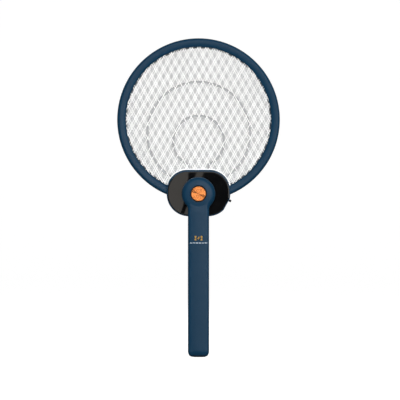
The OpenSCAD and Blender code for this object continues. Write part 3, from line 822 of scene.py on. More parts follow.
def wire_finish(name, color, rough, metallic, gloss):
    """Coated wire: a slightly uneven coat with tiny beads."""
    finish = Finish(name, Metallic=metallic, Coat_Weight=gloss, Coat_Roughness=0.3)
    finish.feed("Base Color", finish.tone(color, 0.1, 160.0))
    finish.grain(3200.0, rough, 0.3, 0.00003)
    return finish.material


def shell_finish(name, handle):
    marks = {"depth": 0.00004, "drift": 0.1, "rub": 0.08, "dust": 0.006}
    return moulded(name, handle.shell, handle.shell_rough, Specular_IOR_Level=0.17, **marks)


def light_pipe_finish():
    finish = Finish("Light pipe", Transmission_Weight=0.9, IOR=1.49)
    finish.feed("Base Color", finish.tone((0.85, 0.93, 0.9), 0.05, 300.0))
    finish.grain(4000.0, 0.14)
    return finish.material
MAKERS = {
    "navy_shell": lambda s: shell_finish("Navy soft-touch", s.swatter_handle),
    "navy_cap": lambda s: moulded("Navy cap", [c * 0.6 for c in s.swatter_handle.shell], 0.5, dust=0.03),
    "dark_steel": lambda s: metal("Blackened steel", (0.09, 0.09, 0.095), 0.38, rings=1500.0),
    "cell_wrap": lambda s: moulded("Cell wrap", (0.05, 0.33, 0.16), 0.28, grain=900.0, Coat_Weight=0.3),
    "nickel_strip": lambda s: metal("Nickel strip", (0.62, 0.6, 0.56), 0.3),
    "red_lead": lambda s: moulded("Red lead", (0.5, 0.03, 0.02), 0.42, grain=1500.0),
    "circuit_board": lambda s: board_finish(),
    "socket_steel": lambda s: metal("Socket steel", (0.58, 0.59, 0.61), 0.26),
    "light_pipe": lambda s: light_pipe_finish(),
    "bright_steel": lambda s: metal("Plated steel", (0.62, 0.62, 0.64), 0.24, rings=1800.0),
    "switch_plastic": lambda s: moulded("Switch plastic", (0.02, 0.02, 0.023), 0.5, dust=0.04),
    "bezel_black": lambda s: moulded("Bezel black", (0.003, 0.0035, 0.004), 0.4, Specular_IOR_Level=0.15),
    "bush_acetal": lambda s: moulded("Bush acetal", (0.74, 0.7, 0.6), 0.4, grain=1400.0),
    "orange_metal": lambda s: metal("Anodised orange", s.swatter_handle.button, 0.12, 3000.0, 0.85, 0.04),
    "fascia_black": lambda s: fascia_finish(s.swatter_head.fascia),
    "net_wire": lambda s: wire_finish("White coat", s.swatter_net.coat, 0.42, 0.0, 0.2),
    "rib_plastic": lambda s: moulded("Rib plastic", s.swatter_net.rib, 0.5, grain=2000.0, dust=0.05),
    "spindle_steel": lambda s: metal("Turned steel", (0.42, 0.43, 0.44), 0.3, rings=2200.0),
    "coil_tape": lambda s: banded_finish("Coil tape", (0.62, 0.45, 0.08), (0.5, 0.34, 0.05), 90.0),
    "capacitor_coat": lambda s: moulded("Capacitor coat", (0.33, 0.035, 0.02), 0.25, 700.0, Coat_Weight=0.6),
    "part_black": lambda s: banded_finish("Part black", (0.015, 0.015, 0.017), (0.5, 0.5, 0.5), 28.0),
    "resistor_body": lambda s: banded_finish("Resistor body", (0.5, 0.33, 0.16), (0.25, 0.05, 0.03), 170.0),
    "contact_brass": lambda s: metal("Contact brass", (0.68, 0.47, 0.16), 0.32),
    "knob_black": lambda s: moulded("Knob black", (0.008, 0.0085, 0.01), 0.45, grain=3000.0),
}


def finish(slot):
    """The material of one of the record's slots, made once."""
    return once(slot, MAKERS[slot], bpy.context.scene)


# Geometry node trees


def shape_tree(name, inputs):
    """A geometry tree whose inputs are (name, kind, default), with the finish last."""
    inputs = [("Geometry", "Geometry", None)] + inputs + [("Finish", "Material", None)]
    return new_group("Geometry", name, inputs, [("Geometry", "Geometry")])


def end_tree(tree, given, out, geometry):
    real = tree.add("GeometryNodeRealizeInstances", {0: geometry})
    tree.feed(out[0], tree.add("GeometryNodeSetMaterial", {"Geometry": real, "Material": given["Finish"]}))


def make_wire_tree():
    """Sweeps a round wire along every edge."""
    inputs = [("Wire Radius", "Float", 0.0005), ("Wire Sides", "Int", 8)]
    group, tree, given, out = shape_tree("Round wires", inputs)
    path = tree.add("GeometryNodeMeshToCurve", {0: given["Geometry"]})
    values = {"Radius": given["Wire Radius"], "Resolution": given["Wire Sides"]}
    ring = tree.add("GeometryNodeCurvePrimitiveCircle", values)
    tube = tree.add("GeometryNodeCurveToMesh", {"Curve": path, "Profile Curve": ring, "Fill Caps": True})
    end_tree(tree, given, out, tree.add("GeometryNodeSetShadeSmooth", {"Geometry": tube}))
    return group


def make_screw_tree():
    """Puts a screw head and its shank on every point, each turned a different way."""
    inputs = [("Head", "Object", None), ("Shank Radius", "Float", 0.0011), ("Shank Length", "Float", 0.015)]
    group, tree, given, out = shape_tree("Screws along Y", inputs + [("Turn Seed", "Int", 3)])
    head = tree.add("GeometryNodeObjectInfo", {"Object": given["Head"]})
    values = {"Vertices": 20, "Radius": given["Shank Radius"], "Depth": given["Shank Length"]}
    shank = tree.add("GeometryNodeMeshCylinder", values).outputs["Mesh"]
    sunk = tree.add("ShaderNodeCombineXYZ", {"Y": tree.times(given["Shank Length"], -0.5)})
    values = {"Geometry": shank, "Translation": sunk, "Rotation": (pi / 2, 0.0, 0.0)}
    both = tree.add("GeometryNodeJoinGeometry", {0: tree.add("GeometryNodeTransform", values)})
    tree.feed(both.inputs[0], head.outputs["Geometry"])
    values = {0: (0.0, 0.0, 0.0), 1: (0.0, 1.5, 0.0), "Seed": given["Turn Seed"]}
    turn = tree.add("FunctionNodeRandomValue", values, data_type="FLOAT_VECTOR")
    values = {"Points": given["Geometry"], "Instance": both, "Rotation": turn}
    end_tree(tree, given, out, tree.add("GeometryNodeInstanceOnPoints", values))
    return group


def grow(name, data, make, values, smooth=32):
    """Runs a geometry tree on a mesh and keeps the result as a plain mesh object."""
    piece = add_object(name, data)
    modifier = piece.modifiers.new("shape", "NODES")
    modifier.node_group = once(make, make)
    sockets = {s.name: s.identifier for s in modifier.node_group.interface.items_tree if s.in_out == "INPUT"}
    for label, value in values.items():
        modifier[sockets[label]] = value
    piece.update_tag()
    settle(piece, smooth)
    return piece


# Stage


def plain_shader(name, glow, color, diffuse):
    """Stage paint: part even light, part surface."""
    even = {"Emission_Color": rgba(color), "Emission_Strength": glow}
    base = rgba([c * diffuse for c in color])
    return Finish(name, Base_Color=base, Roughness=0.9, Specular_IOR_Level=0.0, **even).material


def make_bowl(settings):
    """A round floor that runs up into a wall on all sides."""
    skin = Skin()
    profile = [(0.02, 0.0), (0.6, 0.0), (2.0, 0.0), (6.5, 0.0)]
    profile += [(6.5 + 1.5 * sin(a), 1.5 - 1.5 * cos(a)) for a in arc(14, 6, 90)]
    profile += [(8.0, 4.0), (8.0, 9.0)]
    rings = []
    for r, z in profile:
        rings.append(skin.ring([(r * cos(a), r * sin(a), z) for a in circle(96)]))
    skin.chain(rings)
    skin.lid(rings[0])
    bowl = skin.build("floor_bowl", to_place=tuple)
    paint = plain_shader("Stage paint", settings.glow, settings.floor, 0.12)
    put_on_stage(bowl, paint, "glossy")


def make_card(name, corners, y, glow, color):
    """A flat panel across the view that only reflections see."""
    skin = Skin()
    skin.faces.append(tuple(skin.ring([(x, y, z) for x, z in corners])))
    put_on_stage(skin.build(name, to_place=tuple), plain_shader(name, glow, color, 0.0), "camera")


def put_on_stage(piece, paint, hidden):
    """Hides a stage piece from one kind of ray, and from what lights the object."""
    piece.data.materials.append(paint)
    for ray in (hidden, "diffuse", "transmission", "shadow"):
        setattr(piece, "visible_" + ray, False)


def make_light(name, power, size, turn, climb):
    """A square softbox 2.6 m from the object, turned from its front and raised, in degrees."""
    data = bpy.data.lights.new(name, "AREA")
    data.energy = power
    data.shape = "SQUARE"
    data.size = size
    light = add_object(name, data)
    turn = radians(turn)
    climb = radians(climb)
    level = cos(climb)
    way = Vector((sin(turn) * level, -cos(turn) * level, sin(climb)))
    light.location = Vector((0.0, 0.0, 0.24)) + way * 2.6
    light.rotation_euler = (-way).to_track_quat("-Z", "Y").to_euler()
    light.visible_camera = False
    light.visible_glossy = False


def sector(start, stop, near, far, centre):
    """Corners of a part of a flat ring across the view, as x and z."""
    outer = [(centre[0] + far * cos(a), centre[1] + far * sin(a)) for a in arc(24, start, stop)]
    inner = [(centre[0] + near * cos(a), centre[1] + near * sin(a)) for a in arc(24, stop, start)]
    return outer + inner


class SWATTER_OT_stage(bpy.types.Operator):
    """Floor, backdrop, lights, reflected panels and camera"""

    bl_idname = "swatter.stage"
    bl_label = "Stage"

    def execute(self, context):
        settings = context.scene.swatter_stage
        scene = context.scene
        scene.view_settings.view_transform = "Standard"
        world = bpy.data.worlds.new("Studio")
        world.use_nodes = True
        sky = next(n for n in world.node_tree.nodes if n.type == "BACKGROUND")
        sky.inputs["Color"].default_value = (1.0, 1.0, 1.0, 1.0)
        sky.inputs["Strength"].default_value = settings.sky
        scene.world = world
        make_bowl(settings)

        data = bpy.data.cameras.new("camera")
        data.lens = settings.lens
        data.sensor_width = 36.0
        data.clip_end = 60.0
        camera = add_object("camera", data)
        camera.location = (settings.aim_x, -settings.view_width * settings.lens / 36.0, settings.aim_z)
        camera.rotation_euler = (pi / 2, 0.0, 0.0)
        scene.camera = camera

        make_light("front", settings.front_power, 1.6, 9, 8)
        make_light("top", settings.top_power, 1.2, 0, 84)
        for name, side in (("right", 1), ("left", -1)):
            make_light("side_" + name, settings.side_power, 1.2, 92 * side, 20)
            make_light("back_" + name, settings.back_power, 1.4, 150 * side, 34)

        # A ring softbox and small panels inside it, which only reflections see. Its two gaps are
        # mirrored as the dark streak across the button.
        middle = (0.0, PIVOT_Z * MM)
        white = (1.0, 1.0, 1.0)
        warm = (1.0, 0.94, 0.86)
        right = settings.ring_right
        left = settings.ring_left
        for name, start, stop, glow in (
            ("ring_side", -12, 26, right * 1.35),
            ("ring_right", 28, 141, right),
            ("ring_left", 168, 321, left),
        ):
            make_card(name, sector(start, stop, 0.27, 2.3, middle), -1.92, glow, white)
        panel = [(-0.26, -0.04), (-0.055, -0.04), (0.045, 0.49), (-0.26, 0.49)]
        flag = [(-0.055, -0.04), (0.26, -0.04), (0.26, 0.49), (0.045, 0.49)]
        bar = [(-0.058, 0.1), (-0.0493, 0.1), (0.0055, 0.34), (-0.0105, 0.34)]
        make_card("panel", panel, -1.9, 1.25, warm)
        make_card("flag", flag, -1.9, 0.0, warm)
        make_card("bar", bar, -1.89, 0.0, warm)
        return {"FINISHED"}


# Handle


def cap_ring(z, inset):
    """The grip's section, drawn in by inset, at one height."""
    handle = bpy.context.scene.swatter_handle
    front = handle.grip_edge / MM
    back = handle.back_edge / MM
    half = (GRIP_BACK - GRIP_FRONT) / 2
    squeeze = 1 - inset / half
    section = rounded(GRIP_HALF - inset, half, (front, back, back, front))
    return [(x, SEAM_Y + y * squeeze, z) for x, y in section]


def opening_ring(z, half_x, half_y, r):
    return [(x, SEAM_Y + y, z) for x, y in rounded(half_x, half_y, (r, r, r, r))]


def screw_recess(x, y, z):
    """The pocket of a screw in a back that lies at y."""
    cutter = Skin()
    profile = [(0.2, y - SCREW_SINK), (2.55, y - SCREW_SINK), (2.55, y - 0.3), (2.9, y + 0.05), (2.9, y + 1)]
    cutter.disc(profile + [(0.2, y + 1)], steps=40, x=x, z=z)
    return cutter.build("recess")


class SWATTER_OT_handle(bpy.types.Operator):
    """Front and rear handle shells and the end cap"""

    bl_idname = "swatter.handle"
    bl_label = "Handle"

    def execute(self, context):
        settings = context.scene.swatter_handle
        grip = settings.grip_edge / MM
        knuckle = settings.knuckle_edge / MM
        back = settings.back_edge / MM
        front = handle_half("grip_front", GRIP_FRONT, grip, knuckle, settings.grip_crown, BEZEL_R)
        hand_over(front, "handle", "navy_shell", "handle_front_shell")

        rear = handle_half("grip_back", GRIP_BACK, back, back, 0.0, BUSH_R)
        carve(rear, [screw_recess(0.0, GRIP_BACK, z) for z in self.screw_places()])
        hand_over(rear, "handle", "navy_shell", "handle_rear_shell")

        self.cap()
        return {"FINISHED"}

    def screw_places(self):
        low, high = span("handle_screws")
        middle = (CAP_LOW.z + PIVOT_Z) + span("battery_cell")[0].z - 10
        return [high.z - 2.3, middle, low.z + 2.3]

    def cap(self):
        skin = Skin()
        top = FOOT_Z
        rings = [
            opening_ring(top, 4.47, 1.63, 1.4), opening_ring(GROUND_Z + 0.15, 4.47, 1.63, 1.4),
            opening_ring(GROUND_Z, 4.65, 1.81, 1.5),
        ]
        for z, inset in (
            (0.0, 9.2), (0.2, 7.6), (0.5, 5.9), (0.9, 4.4), (1.3, 3.3), (1.75, 2.5), (2.2, 2.0), (2.7, 1.68),
            (2.9, 1.62), (3.0, 1.72)
        ):
            rings.append(cap_ring(GROUND_Z + z, inset))
        rings += [cap_ring(top, 2.15), cap_ring(top + 2.8, 2.15), cap_ring(top + 3, 2.3)]
        rings += [cap_ring(top + 3, 3.2), cap_ring(top, 3.3)]
        skin.sweep(rings, closed_path=True)
        cap = skin.build("foot_cap")
        hand_over(cap, "handle", "navy_cap", "handle_end_cap")


class SWATTER_OT_button(bpy.types.Operator):
    """The turned orange button and the dark ring round it"""

    bl_idname = "swatter.button"
    bl_label = "Button"

    def execute(self, context):
        settings = context.scene.swatter_handle
        front = BUTTON_LOW.y
        depth = settings.groove_depth / MM
        face_r = BUTTON_R - 1.1
        steps = settings.grooves * 5
        profile = []
        for i in range(1, steps + 1):
            r = face_r * i / steps
            fade = min(1.0, i / 12)
            profile.append((r, front + 0.12 + depth * fade * (1 + sin(2 * pi * i / 5))))
        profile += [
            (face_r + 0.12, front + 0.02), (face_r + 0.3, front), (BUTTON_R - 0.45, front + 0.03),
            (BUTTON_R - 0.12, front + 0.3), (BUTTON_R, front + 0.55), (BUTTON_R, BUTTON_HIGH.y - 0.1),
            (BUTTON_R - 0.1, BUTTON_HIGH.y), (0.3, BUTTON_HIGH.y),
        ]
        skin = Skin()
        skin.disc(profile, steps=120)
        button = skin.build("button_cap", smooth=50)
        hand_over(button, "button", "orange_metal", "trigger_button")

        inner = BEZEL_R - 1.0
        y = BEZEL_LOW.y
        ring = Skin()
        outline = [(inner, BEZEL_HIGH.y), (inner, y + 0.35), (inner + 0.12, y + 0.1), (inner + 0.4, y)]
        outline += [(BEZEL_R - 0.3, y), (BEZEL_R - 0.08, y + 0.1)]
        outline += [(BEZEL_R, y + 0.35), (BEZEL_R, BEZEL_HIGH.y)]
        ring.sweep([round_ring(depth, r, 120) for r, depth in outline], closed_path=True)
        bezel = ring.build("button_ring", smooth=50)
        hand_over(bezel, "handle", "bezel_black", "button_bezel")
        return {"FINISHED"}


def grip_front(x):
    """Depth of the crowned grip's front at x."""
    settings = bpy.context.scene.swatter_handle
    edge = settings.grip_edge / MM
    half = GRIP_HALF - edge * (1 - sin(settings.grip_crown))
    side = GRIP_FRONT + edge * (1 - cos(settings.grip_crown))
    return side - half * math.tan(settings.grip_crown / 2) * (1 - (x / half) ** 2)


class SWATTER_OT_mark(bpy.types.Operator):
    """A plain bolt between two bars, and a thin line under it, printed on the grip"""

    bl_idname = "swatter.mark"
    bl_label = "Mark"

    def execute(self, context):
        settings = context.scene.swatter_handle
        gold = metal("Gold print", settings.mark, 0.4, rings=900.0)
        pale = moulded("Pale print", (0.42, 0.48, 0.54), 0.5, grain=3000.0)
        bolt = [(1.6, 3.3), (-2.3, -0.8), (-0.3, -0.8), (-1.6, -3.3), (2.3, 0.9), (0.3, 0.9)]
        shapes = [bolt]
        for s in (-1, 1):
            shapes.append([(s * 2.8, 3.1), (s * 5.4, 3.1), (s * 5.4, 0.4), (s * 3.2, 0.4)])
            shapes.append([(s * 3.2, -0.4), (s * 5.4, -0.4), (s * 5.4, -3.1), (s * 2.8, -3.1)])
        self.stamp("grip_mark", shapes, -61.9, gold)
        dashes = []
        for x, half in ((-10.2, 1.6), (-6.3, 1.5), (-2.4, 1.6), (2.0, 1.5), (6.1, 1.7), (10.2, 1.5)):
            dashes.append([(x - half, 0.5), (x + half, 0.5), (x + half, -0.5), (x - half, -0.5)])
        self.stamp("grip_line", dashes, -68.6, pale)
        return {"FINISHED"}

    def stamp(self, name, shapes, z, material):
        skin = Skin()
        for outline in shapes:
            ring = [(x, grip_front(x) - 0.06, z + dz) for x, dz in outline]
            back = [(x, grip_front(x) + 0.2, z + dz) for x, dz in outline]
            skin.sweep([ring, back])
        piece = skin.build(name)
        hand_over(piece, "handle", "navy_shell", paint=material)


# Head

HOOP_GAP = 22.3


def hoop_section(side, settings):
    """The closed section of one half of the hoop, as radius and depth; side is -1 in front."""
    corner = settings.hoop_corner / MM
    face = MID_Y + side * HOOP_HALF
    inner = HOOP_IN if side < 0 else HOOP_IN - REAR_LIP
    wide, deep = HOOP_SLOPE if side < 0 else (corner, corner)
    points = [(RING_R - 0.25, MID_Y), (RING_R, MID_Y + side * 0.3)]
    for a in arc(7, 0, 90):
        points.append((RING_R - corner + corner * cos(a), face - side * corner * (1 - sin(a))))
    for a in arc(7, 90, 180):
        points.append((inner + wide + wide * cos(a), face - side * deep * (1 - sin(a))))
    points += [(inner, MID_Y + side * (STACK_HALF + 0.15)), (inner + 0.15, MID_Y + side * STACK_HALF)]
    points += [(NET_R + 0.15, MID_Y + side * STACK_HALF), (NET_R + 0.15, MID_Y)]
    return points


def hoop_path(steps=170):
    return arc(steps, HOOP_GAP - 90, 270 - HOOP_GAP)


def make_hoop(side, settings):
    section = hoop_section(side, settings)
    skin = Skin()
    skin.sweep([[spoke(a, r, y, RING_Z) for r, y in section] for a in hoop_path()])
    return skin.build("hoop")


def slot_cutter():
    """The opening for the slide knob's stem, in the housing's flat."""
    skin = Skin()
    half = 2.0
    low = SLOT_LOW[2] + 1.2
    high = SLOT_HIGH[2] + 0.1
    near = SLOT_HIGH[0] - 1.4
    far = KNOB_HIGH[0] + 2
    rings = []
    for x in (near, far):
        ends = ((-half, low), (half, low), (half, high), (-half, high))
        rings.append([untilt((x, MID_Y + dy, z)) for dy, z in ends])
    skin.sweep(rings)
    return skin.build("slot")


class SWATTER_OT_head_shells(bpy.types.Operator):
    """Hoop and electronics housing, in a front and a rear half"""

    bl_idname = "swatter.head_shells"
    bl_label = "Head Shells"

    def execute(self, context):
        settings = context.scene.swatter_head
        front = self.front_housing(settings)
        carve(front, [slot_cutter()])
        shell = weld("head_front", [make_hoop(-1, settings), front])
        hand_over(shell, "head", "navy_shell", "head_front_shell")

        rear = self.rear_housing(settings)
        carve(rear, [slot_cutter()] + [screw_recess(x, BACK_Y, z) for x, z in self.screw_places()])
        shell = weld("head_back", [make_hoop(1, settings), rear])
        hand_over(shell, "head", "navy_shell", "head_rear_shell")
        return {"FINISHED"}

    def screw_places(self):
        upper = (HOUSING_HALF - UPPER_R + 17.5, HOUSING_TOP - UPPER_R + 9.4)
        lower = (HOUSING_HALF - LOWER_R + 12.5, HOUSING_FOOT + LOWER_R - 18.5)
        return [(side * x, z) for x, z in (upper, lower) for side in (1, -1)]

    def front_housing(self, settings):
        edge = settings.rim_edge / MM
        skin = Skin()
        rings = [housing_ring(MID_Y, 0.25), housing_ring(MID_Y - 0.3, 0.0)]
        for a in arc(6, 0, 90):
            draw = 1 - cos(a)
            sink = edge * (1 - sin(a))
            rings.append(housing_ring(FACE_Y + sink, edge * draw, 1.5 * edge * draw))
        rings.append(housing_ring(FACE_Y, 1.05, 2.2))
        rings.append(housing_ring(FACE_Y + 0.15, 1.2, 2.4))
        rings.append(housing_ring(SEAT_Y, 1.2, 2.4))
        for r, deep in ((20.0, 0.0), (7.0, 0.0), (7.0, 3.0), (14.0, 3.0), (14.0, 1.5)):
            rings.append(round_ring(SEAT_Y + deep, r))
        rings.append(housing_ring(SEAT_Y + 1.5, 2.0, 2.4))
        rings.append(housing_ring(MID_Y, 2.0, 2.4))
        skin.sweep(rings, closed_path=True)
        return skin.build("housing_front")

    def rear_housing(self, settings):
        edge = settings.back_edge / MM
        skin = Skin()
        rings = [round_ring(BACK_Y, 1.0), round_ring(BACK_Y, 12.0)]
        for a in arc(8, 90, 0):
            draw = 1 - cos(a)
            rings.append(housing_ring(BACK_Y - edge * (1 - sin(a)), edge * draw))
        rings += [housing_ring(MID_Y + 0.3, 0.0), housing_ring(MID_Y, 0.25), housing_ring(MID_Y, 2.0)]
        rings += [housing_ring(BACK_Y - 2.6, 2.0), housing_ring(BACK_Y - 2.0, 2.6)]
        rings += [round_ring(BACK_Y - 2.0, 12.0), round_ring(BACK_Y - 2.0, 1.0)]
        skin.sweep(rings)
        return skin.build("housing_back")


class SWATTER_OT_fascia(bpy.types.Operator):
    """The gently crowned glossy plate on the housing's front"""

    bl_idname = "swatter.fascia"
    bl_label = "Fascia"

    def execute(self, context):
        settings = context.scene.swatter_head
        crown = settings.crown / MM
        angles = circle(288)
        skin = Skin()
        rings = [round_ring(SEAT_Y, 7.4), housing_ring(SEAT_Y, 1.35, 2.55)]
        rings.append(housing_ring(FACE_Y + crown + 0.3, 1.35, 2.55))
        rings.append(housing_ring(FACE_Y + crown + 0.08, 1.42, 2.62))
        rings.append(housing_ring(FACE_Y + crown, 1.62, 2.82))
        reach = [housing_reach(a, 1.62, 2.82) for a in angles]
        for level in (0.97, 0.93, 0.86, 0.77, 0.66, 0.54, 0.42, 0.32):
            y = FACE_Y + crown * level * level
            rings.append([spoke(a, r * level, y) for a, r in zip(angles, reach)])
        rings.append(round_ring(FACE_Y, 7.4))
        skin.sweep(rings, closed_path=True)
        plate = skin.build("gloss_fascia", smooth=40)
        hand_over(plate, "head", "fascia_black", "front_fascia")
        return {"FINISHED"}


# Nets and ribs


def rim_plate(skin, y, half):
    """The flat rim of a net or rib plate: a ring inside the hoop and a strip along the housing."""
    ring = [(a, RIM_IN, NET_R, RING_Z) for a in hoop_path(128)]
    strip = [(a, housing_reach(a, 3.5, 3.5), housing_reach(a, -1.4, -1.4), 0.0) for a in arc(120, 7, 173)]
    for path in (ring, strip):
        sections = []
        for a, near, far, z in path:
            points = ((near, y - half), (far, y - half), (far, y + half), (near, y + half))
            sections.append([spoke(a, r, depth, z) for r, depth in points])
        skin.sweep(sections)


def net_strands(y, x0, z0, pitch, lift):
    """End points of one net's wires, kept inside the hoop and out of the housing."""
    strands = []
    count = int(NET_R / pitch) + 1
    for way in (-1, 1):
        dx = cos(way * NET_ANGLE)
        dz = sin(way * NET_ANGLE)
        for i in range(-count, count + 1):
            start = None
            last = None
            for k in range(0, 401):
                t = -120 + 240 * k / 400
                x = x0 + t * dx - i * pitch * dz
                z = RING_Z + z0 + t * dz + i * pitch * dx
                kept = math.hypot(x, z - RING_Z) < WIRE_REACH and not inside_housing(x, z, 3.0, 3.0)
                if kept:
                    start = start or (x, y + way * lift, z)
                    last = (x, y + way * lift, z)
                if start and last and (not kept or k == 400):
                    if math.dist(start, last) > 2:
                        strands.append((start, last))
                    start = None
                    last = None
    return strands


class SWATTER_OT_nets(bpy.types.Operator):
    """Three nets of round wires with their rims, the rear one in a darker grey as painted shade, and the fine dark
    screen on the rear one, also painted shade
    """

    bl_idname = "swatter.nets"
    bl_label = "Nets"

    def execute(self, context):
        settings = context.scene.swatter_net
        coat = finish("net_wire")
        # The rear net's grey is painted shade: its record slot is the same net_wire as the other nets, darkened as
        # if shaded by them
        painted_shade_grey = wire_finish("Rear wire painted shade", settings.inner, 0.45, 0.0, 0.1)
        fine = wire_finish("Screen wire painted shade", settings.screen, 0.4, 0.6, 0.0)
        high = settings.phase_high / MM
        low = settings.phase_low / MM
        for name, node, layer, z0, paint in (
            ("net_front", "front_net", -1, high, coat),
            ("net_live", "high_voltage_net", 0, low, coat),
            ("net_back", "rear_net", 1, high, painted_shade_grey),
        ):
            y = MID_Y + layer * NET_STEP
            strands = net_strands(y, 0.7, z0, NET_PITCH, settings.cross_lift / MM)
            wires = self.wires(name + "_wires", strands, settings.wire_radius, settings.wire_sides, paint)
            rim = Skin()
            rim_plate(rim, y, 0.5)
            net = weld(name, [wires, rim.build("rim")])
            hand_over(net, "head", "net_wire", node, paint=paint)

        # The fine screen is painted shade: its dark wires grey the view through the nets where their own shade
        # would fall
        y = MID_Y + NET_STEP - SCREEN_GAP
        strands = net_strands(y, 0.0, 0.0, settings.screen_pitch / MM, 0.02)
        screen = self.wires("net_screen", strands, settings.screen_radius, 4, fine)
        hand_over(screen, "head", "net_wire", paint=fine)
        return {"FINISHED"}

    def wires(self, name, strands, radius, sides, paint):
        data = bpy.data.meshes.new(name)
        points = [place(p) for strand in strands for p in strand]
        data.from_pydata(points, [(2 * i, 2 * i + 1) for i in range(len(strands))], [])
        values = {"Wire Radius": radius, "Wire Sides": sides, "Finish": paint}
        return grow(name, data, make_wire_tree, values)


def rib_section(x, z, nx, nz, stretch, y):
    """A rounded bar section across a rib's path."""
    section = rounded(1.6, 1.2, (0.5, 0.5, 0.5, 0.5), steps=3)
    return [(x + nx * u * stretch, y + v, z + nz * u * stretch) for u, v in section]


class SWATTER_OT_ribs(bpy.types.Operator):
    """Two plates of insulating ribs that keep the nets apart"""

    bl_idname = "swatter.ribs"
    bl_label = "Ribs"

    def execute(self, context):
        for name, node, side in (("ribs_front", "front_ribs", -1), ("ribs_back", "rear_ribs", 1)):
            y = MID_Y + side * NET_STEP / 2
            skin = Skin()
            tall = []
            for a in arc(110, -62, 242):
                x = RIB_TALL[0] * cos(a)
                z = RIB_TALL[1] + RIB_TALL[0] * sin(a)
                tall.append(rib_section(x, z, cos(a), sin(a), 1.0, y))
            skin.sweep(tall)
            skin.sweep(self.low_arch(y))
            rim_plate(skin, y, 1.2)
            hand_over(skin.build(name), "head", "rib_plastic", node)
        return {"FINISHED"}

    def low_arch(self, y):
        radius, centre = RIB_LOW
        foot, foot_z = RIB_FOOT
        edge = math.degrees(math.asin(foot / radius)) - 90
        sections = [rib_section(foot, foot_z, 1.0, 0.0, 1.0, y)]
        for i, a in enumerate(arc(72, edge, 180 - edge)):
            nx = cos(a)
            nz = sin(a)
            x = radius * nx
            z = centre + radius * nz
            stretch = 1.0
            if i in (0, 72):
                nx = nx + math.copysign(1.0, nx)
                size = math.hypot(nx, nz)
                nx = nx / size
                nz = nz / size
                stretch = 1 / max(0.5, size / 2)
            sections.append(rib_section(x, z, nx, nz, stretch, y))
        sections.append(rib_section(-foot, foot_z, -1.0, 0.0, 1.0, y))
        return sections


# Screws and knob


def screw_head():
    """A cross-recessed pan head that looks along +Y and is seated at the origin."""
    skin = Skin()
    profile = [(0.2, 1.5), (0.9, 1.47), (1.5, 1.36), (1.95, 1.12), (2.2, 0.8)]
    skin.disc(profile + [(2.3, 0.4), (2.3, 0.05), (2.22, 0.0), (0.2, 0.0)], steps=36)

    def small(point):
        return (point[0] * MM, point[1] * MM, point[2] * MM)

    head = skin.build("screw_head", to_place=small)
    cutters = []
    for long_way in (0, 1):
        cross = Skin()
        rings = []
        for y, reach, half in ((0.55, 0.75, 0.18), (1.7, 1.35, 0.34)):
            ends = ((-reach, -half), (reach, -half), (reach, half), (-reach, half))
            rings.append([(v, y, u) if long_way else (u, y, v) for u, v in ends])
        cross.sweep(rings)
        cutters.append(cross.build("cross", to_place=small))
    carve(head, cutters)
    return head


class SWATTER_OT_screws(bpy.types.Operator):
    """Cross-head screws in the handle's and the housing's back"""

    bl_idname = "swatter.screws"
    bl_label = "Screws"

    def execute(self, context):
        head = screw_head()
        handle = [(0.0, GRIP_BACK - SCREW_SINK, z) for z in SWATTER_OT_handle.screw_places(self)]
        housing = [(x, BACK_Y - SCREW_SINK, z) for x, z in SWATTER_OT_head_shells.screw_places(self)]
        for name, node, body, seats, deep in (
            ("grip_screws", "handle_screws", "handle", handle, 0.0164),
            ("housing_screws", "head_screws", "head", housing, 0.0143),
        ):
            data = bpy.data.meshes.new(name)
            data.from_pydata([place(p) for p in seats], [], [])
            values = {"Head": head, "Shank Length": deep, "Finish": finish("dark_steel")}
            screws = grow(name, data, make_screw_tree, values)
            hand_over(screws, body, "dark_steel", node)
        discard([head])
        return {"FINISHED"}


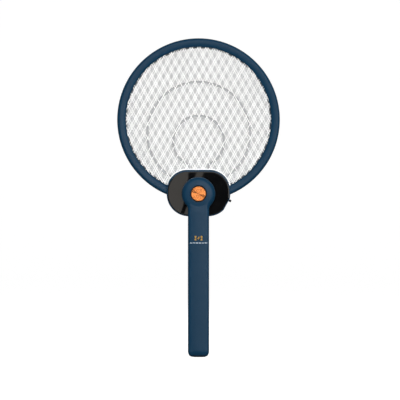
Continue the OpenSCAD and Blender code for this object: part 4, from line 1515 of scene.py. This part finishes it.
class SWATTER_OT_knob(bpy.types.Operator):
    """The ridged slide knob on the housing's flat"""

    bl_idname = "swatter.knob"
    bl_label = "Knob"

    def execute(self, context):
        ridges = context.scene.swatter_head.knob_ridges
        top = KNOB_HIGH[0]
        foot = top - 3.2
        low = KNOB_LOW[2]
        high = KNOB_HIGH[2]
        middle = (low + high) / 2
        half = (high - low) / 2
        outline = [(foot, -half), (top - 0.8, -half)]
        outline += [(top - 0.8 + 0.5 * sin(a), -half + 0.5 * (1 - cos(a))) for a in arc(4, 20, 90)]
        width = 2 * (half - 0.5)
        count = ridges * 6
        for i in range(count + 1):
            wave = 0.5 - 0.5 * cos(2 * pi * i / 6)
            outline.append((top - 0.3 + 0.3 * wave, -half + 0.5 + width * i / count))
        outline += [(top - 0.8 + 0.5 * cos(a), half - 0.5 * (1 - sin(a))) for a in arc(4, 0, 70)]
        outline += [(top - 0.8, half), (foot, half)]
        skin = Skin()
        sections = []
        y0 = KNOB_LOW[1]
        y1 = KNOB_HIGH[1]
        ends = ((0.0, 0.8), (0.12, 0.91), (0.35, 0.98), (0.6, 1.0))
        levels = [(y0 + step, size) for step, size in ends]
        levels += [(y1 - step, size) for step, size in reversed(ends)]
        for y, size in levels:
            points = [(foot + (out - foot) * size, y, middle + along * size) for out, along in outline]
            sections.append([untilt(point) for point in points])
        skin.sweep(sections)
        stem = []
        for out in (KNOB_LOW[0], foot + 0.1):
            ends = ((-1.7, low), (1.7, low), (1.7, high - 1.2), (-1.7, high - 1.2))
            stem.append([untilt((out, MID_Y + dy, z)) for dy, z in ends])
        skin.sweep(stem)
        knob = skin.build("slide_knob", smooth=40)
        hand_over(knob, "mode", "knob_black", "mode_knob")
        return {"FINISHED"}


class SWATTER_OT_inner_parts(bpy.types.Operator):
    """Finishes for the CAD parts that stay: contacts, boards, spindle, cell and the rest"""

    bl_idname = "swatter.inner_parts"
    bl_label = "Inner Parts"

    def execute(self, context):
        for part in frame["record"]["subparts"]:
            node = frame["nodes"][part["node"]]
            paint = finish(part["material_slot"])
            if len(node.data.materials):
                for i in range(len(node.data.materials)):
                    node.data.materials[i] = paint
            else:
                node.data.materials.append(paint)
        return {"FINISHED"}


class SWATTER_PT_panel(bpy.types.Panel):
    bl_label = "Fly Swatter"
    bl_idname = "SWATTER_PT_panel"
    bl_space_type = "VIEW_3D"
    bl_region_type = "UI"
    bl_category = "Swatter"

    def draw(self, context):
        for operator in OPERATORS:
            self.layout.operator(operator.bl_idname)
        for label in ("swatter_handle", "swatter_head", "swatter_net", "swatter_stage"):
            group = getattr(context.scene, label)
            box = self.layout.box()
            for name in group.__annotations__:
                box.prop(group, name)


OPERATORS = (
    SWATTER_OT_stage,
    SWATTER_OT_handle,
    SWATTER_OT_button,
    SWATTER_OT_mark,
    SWATTER_OT_head_shells,
    SWATTER_OT_fascia,
    SWATTER_OT_nets,
    SWATTER_OT_ribs,
    SWATTER_OT_screws,
    SWATTER_OT_knob,
    SWATTER_OT_inner_parts,
)
SETTINGS = {
    "swatter_handle": HandleSettings,
    "swatter_head": HeadSettings,
    "swatter_net": NetSettings,
    "swatter_stage": StageSettings,
}


def register():
    for kind in (*SETTINGS.values(), *OPERATORS, SWATTER_PT_panel):
        bpy.utils.register_class(kind)
    for name, kind in SETTINGS.items():
        setattr(bpy.types.Scene, name, bpy.props.PointerProperty(type=kind))


def unregister():
    for name in SETTINGS:
        delattr(bpy.types.Scene, name)
    for kind in reversed((*SETTINGS.values(), *OPERATORS, SWATTER_PT_panel)):
        bpy.utils.unregister_class(kind)


def main():
    register()
    for operator in OPERATORS:
        group, name = operator.bl_idname.split(".")
        getattr(getattr(bpy.ops, group), name)()


if __name__ == "__main__":
    main()
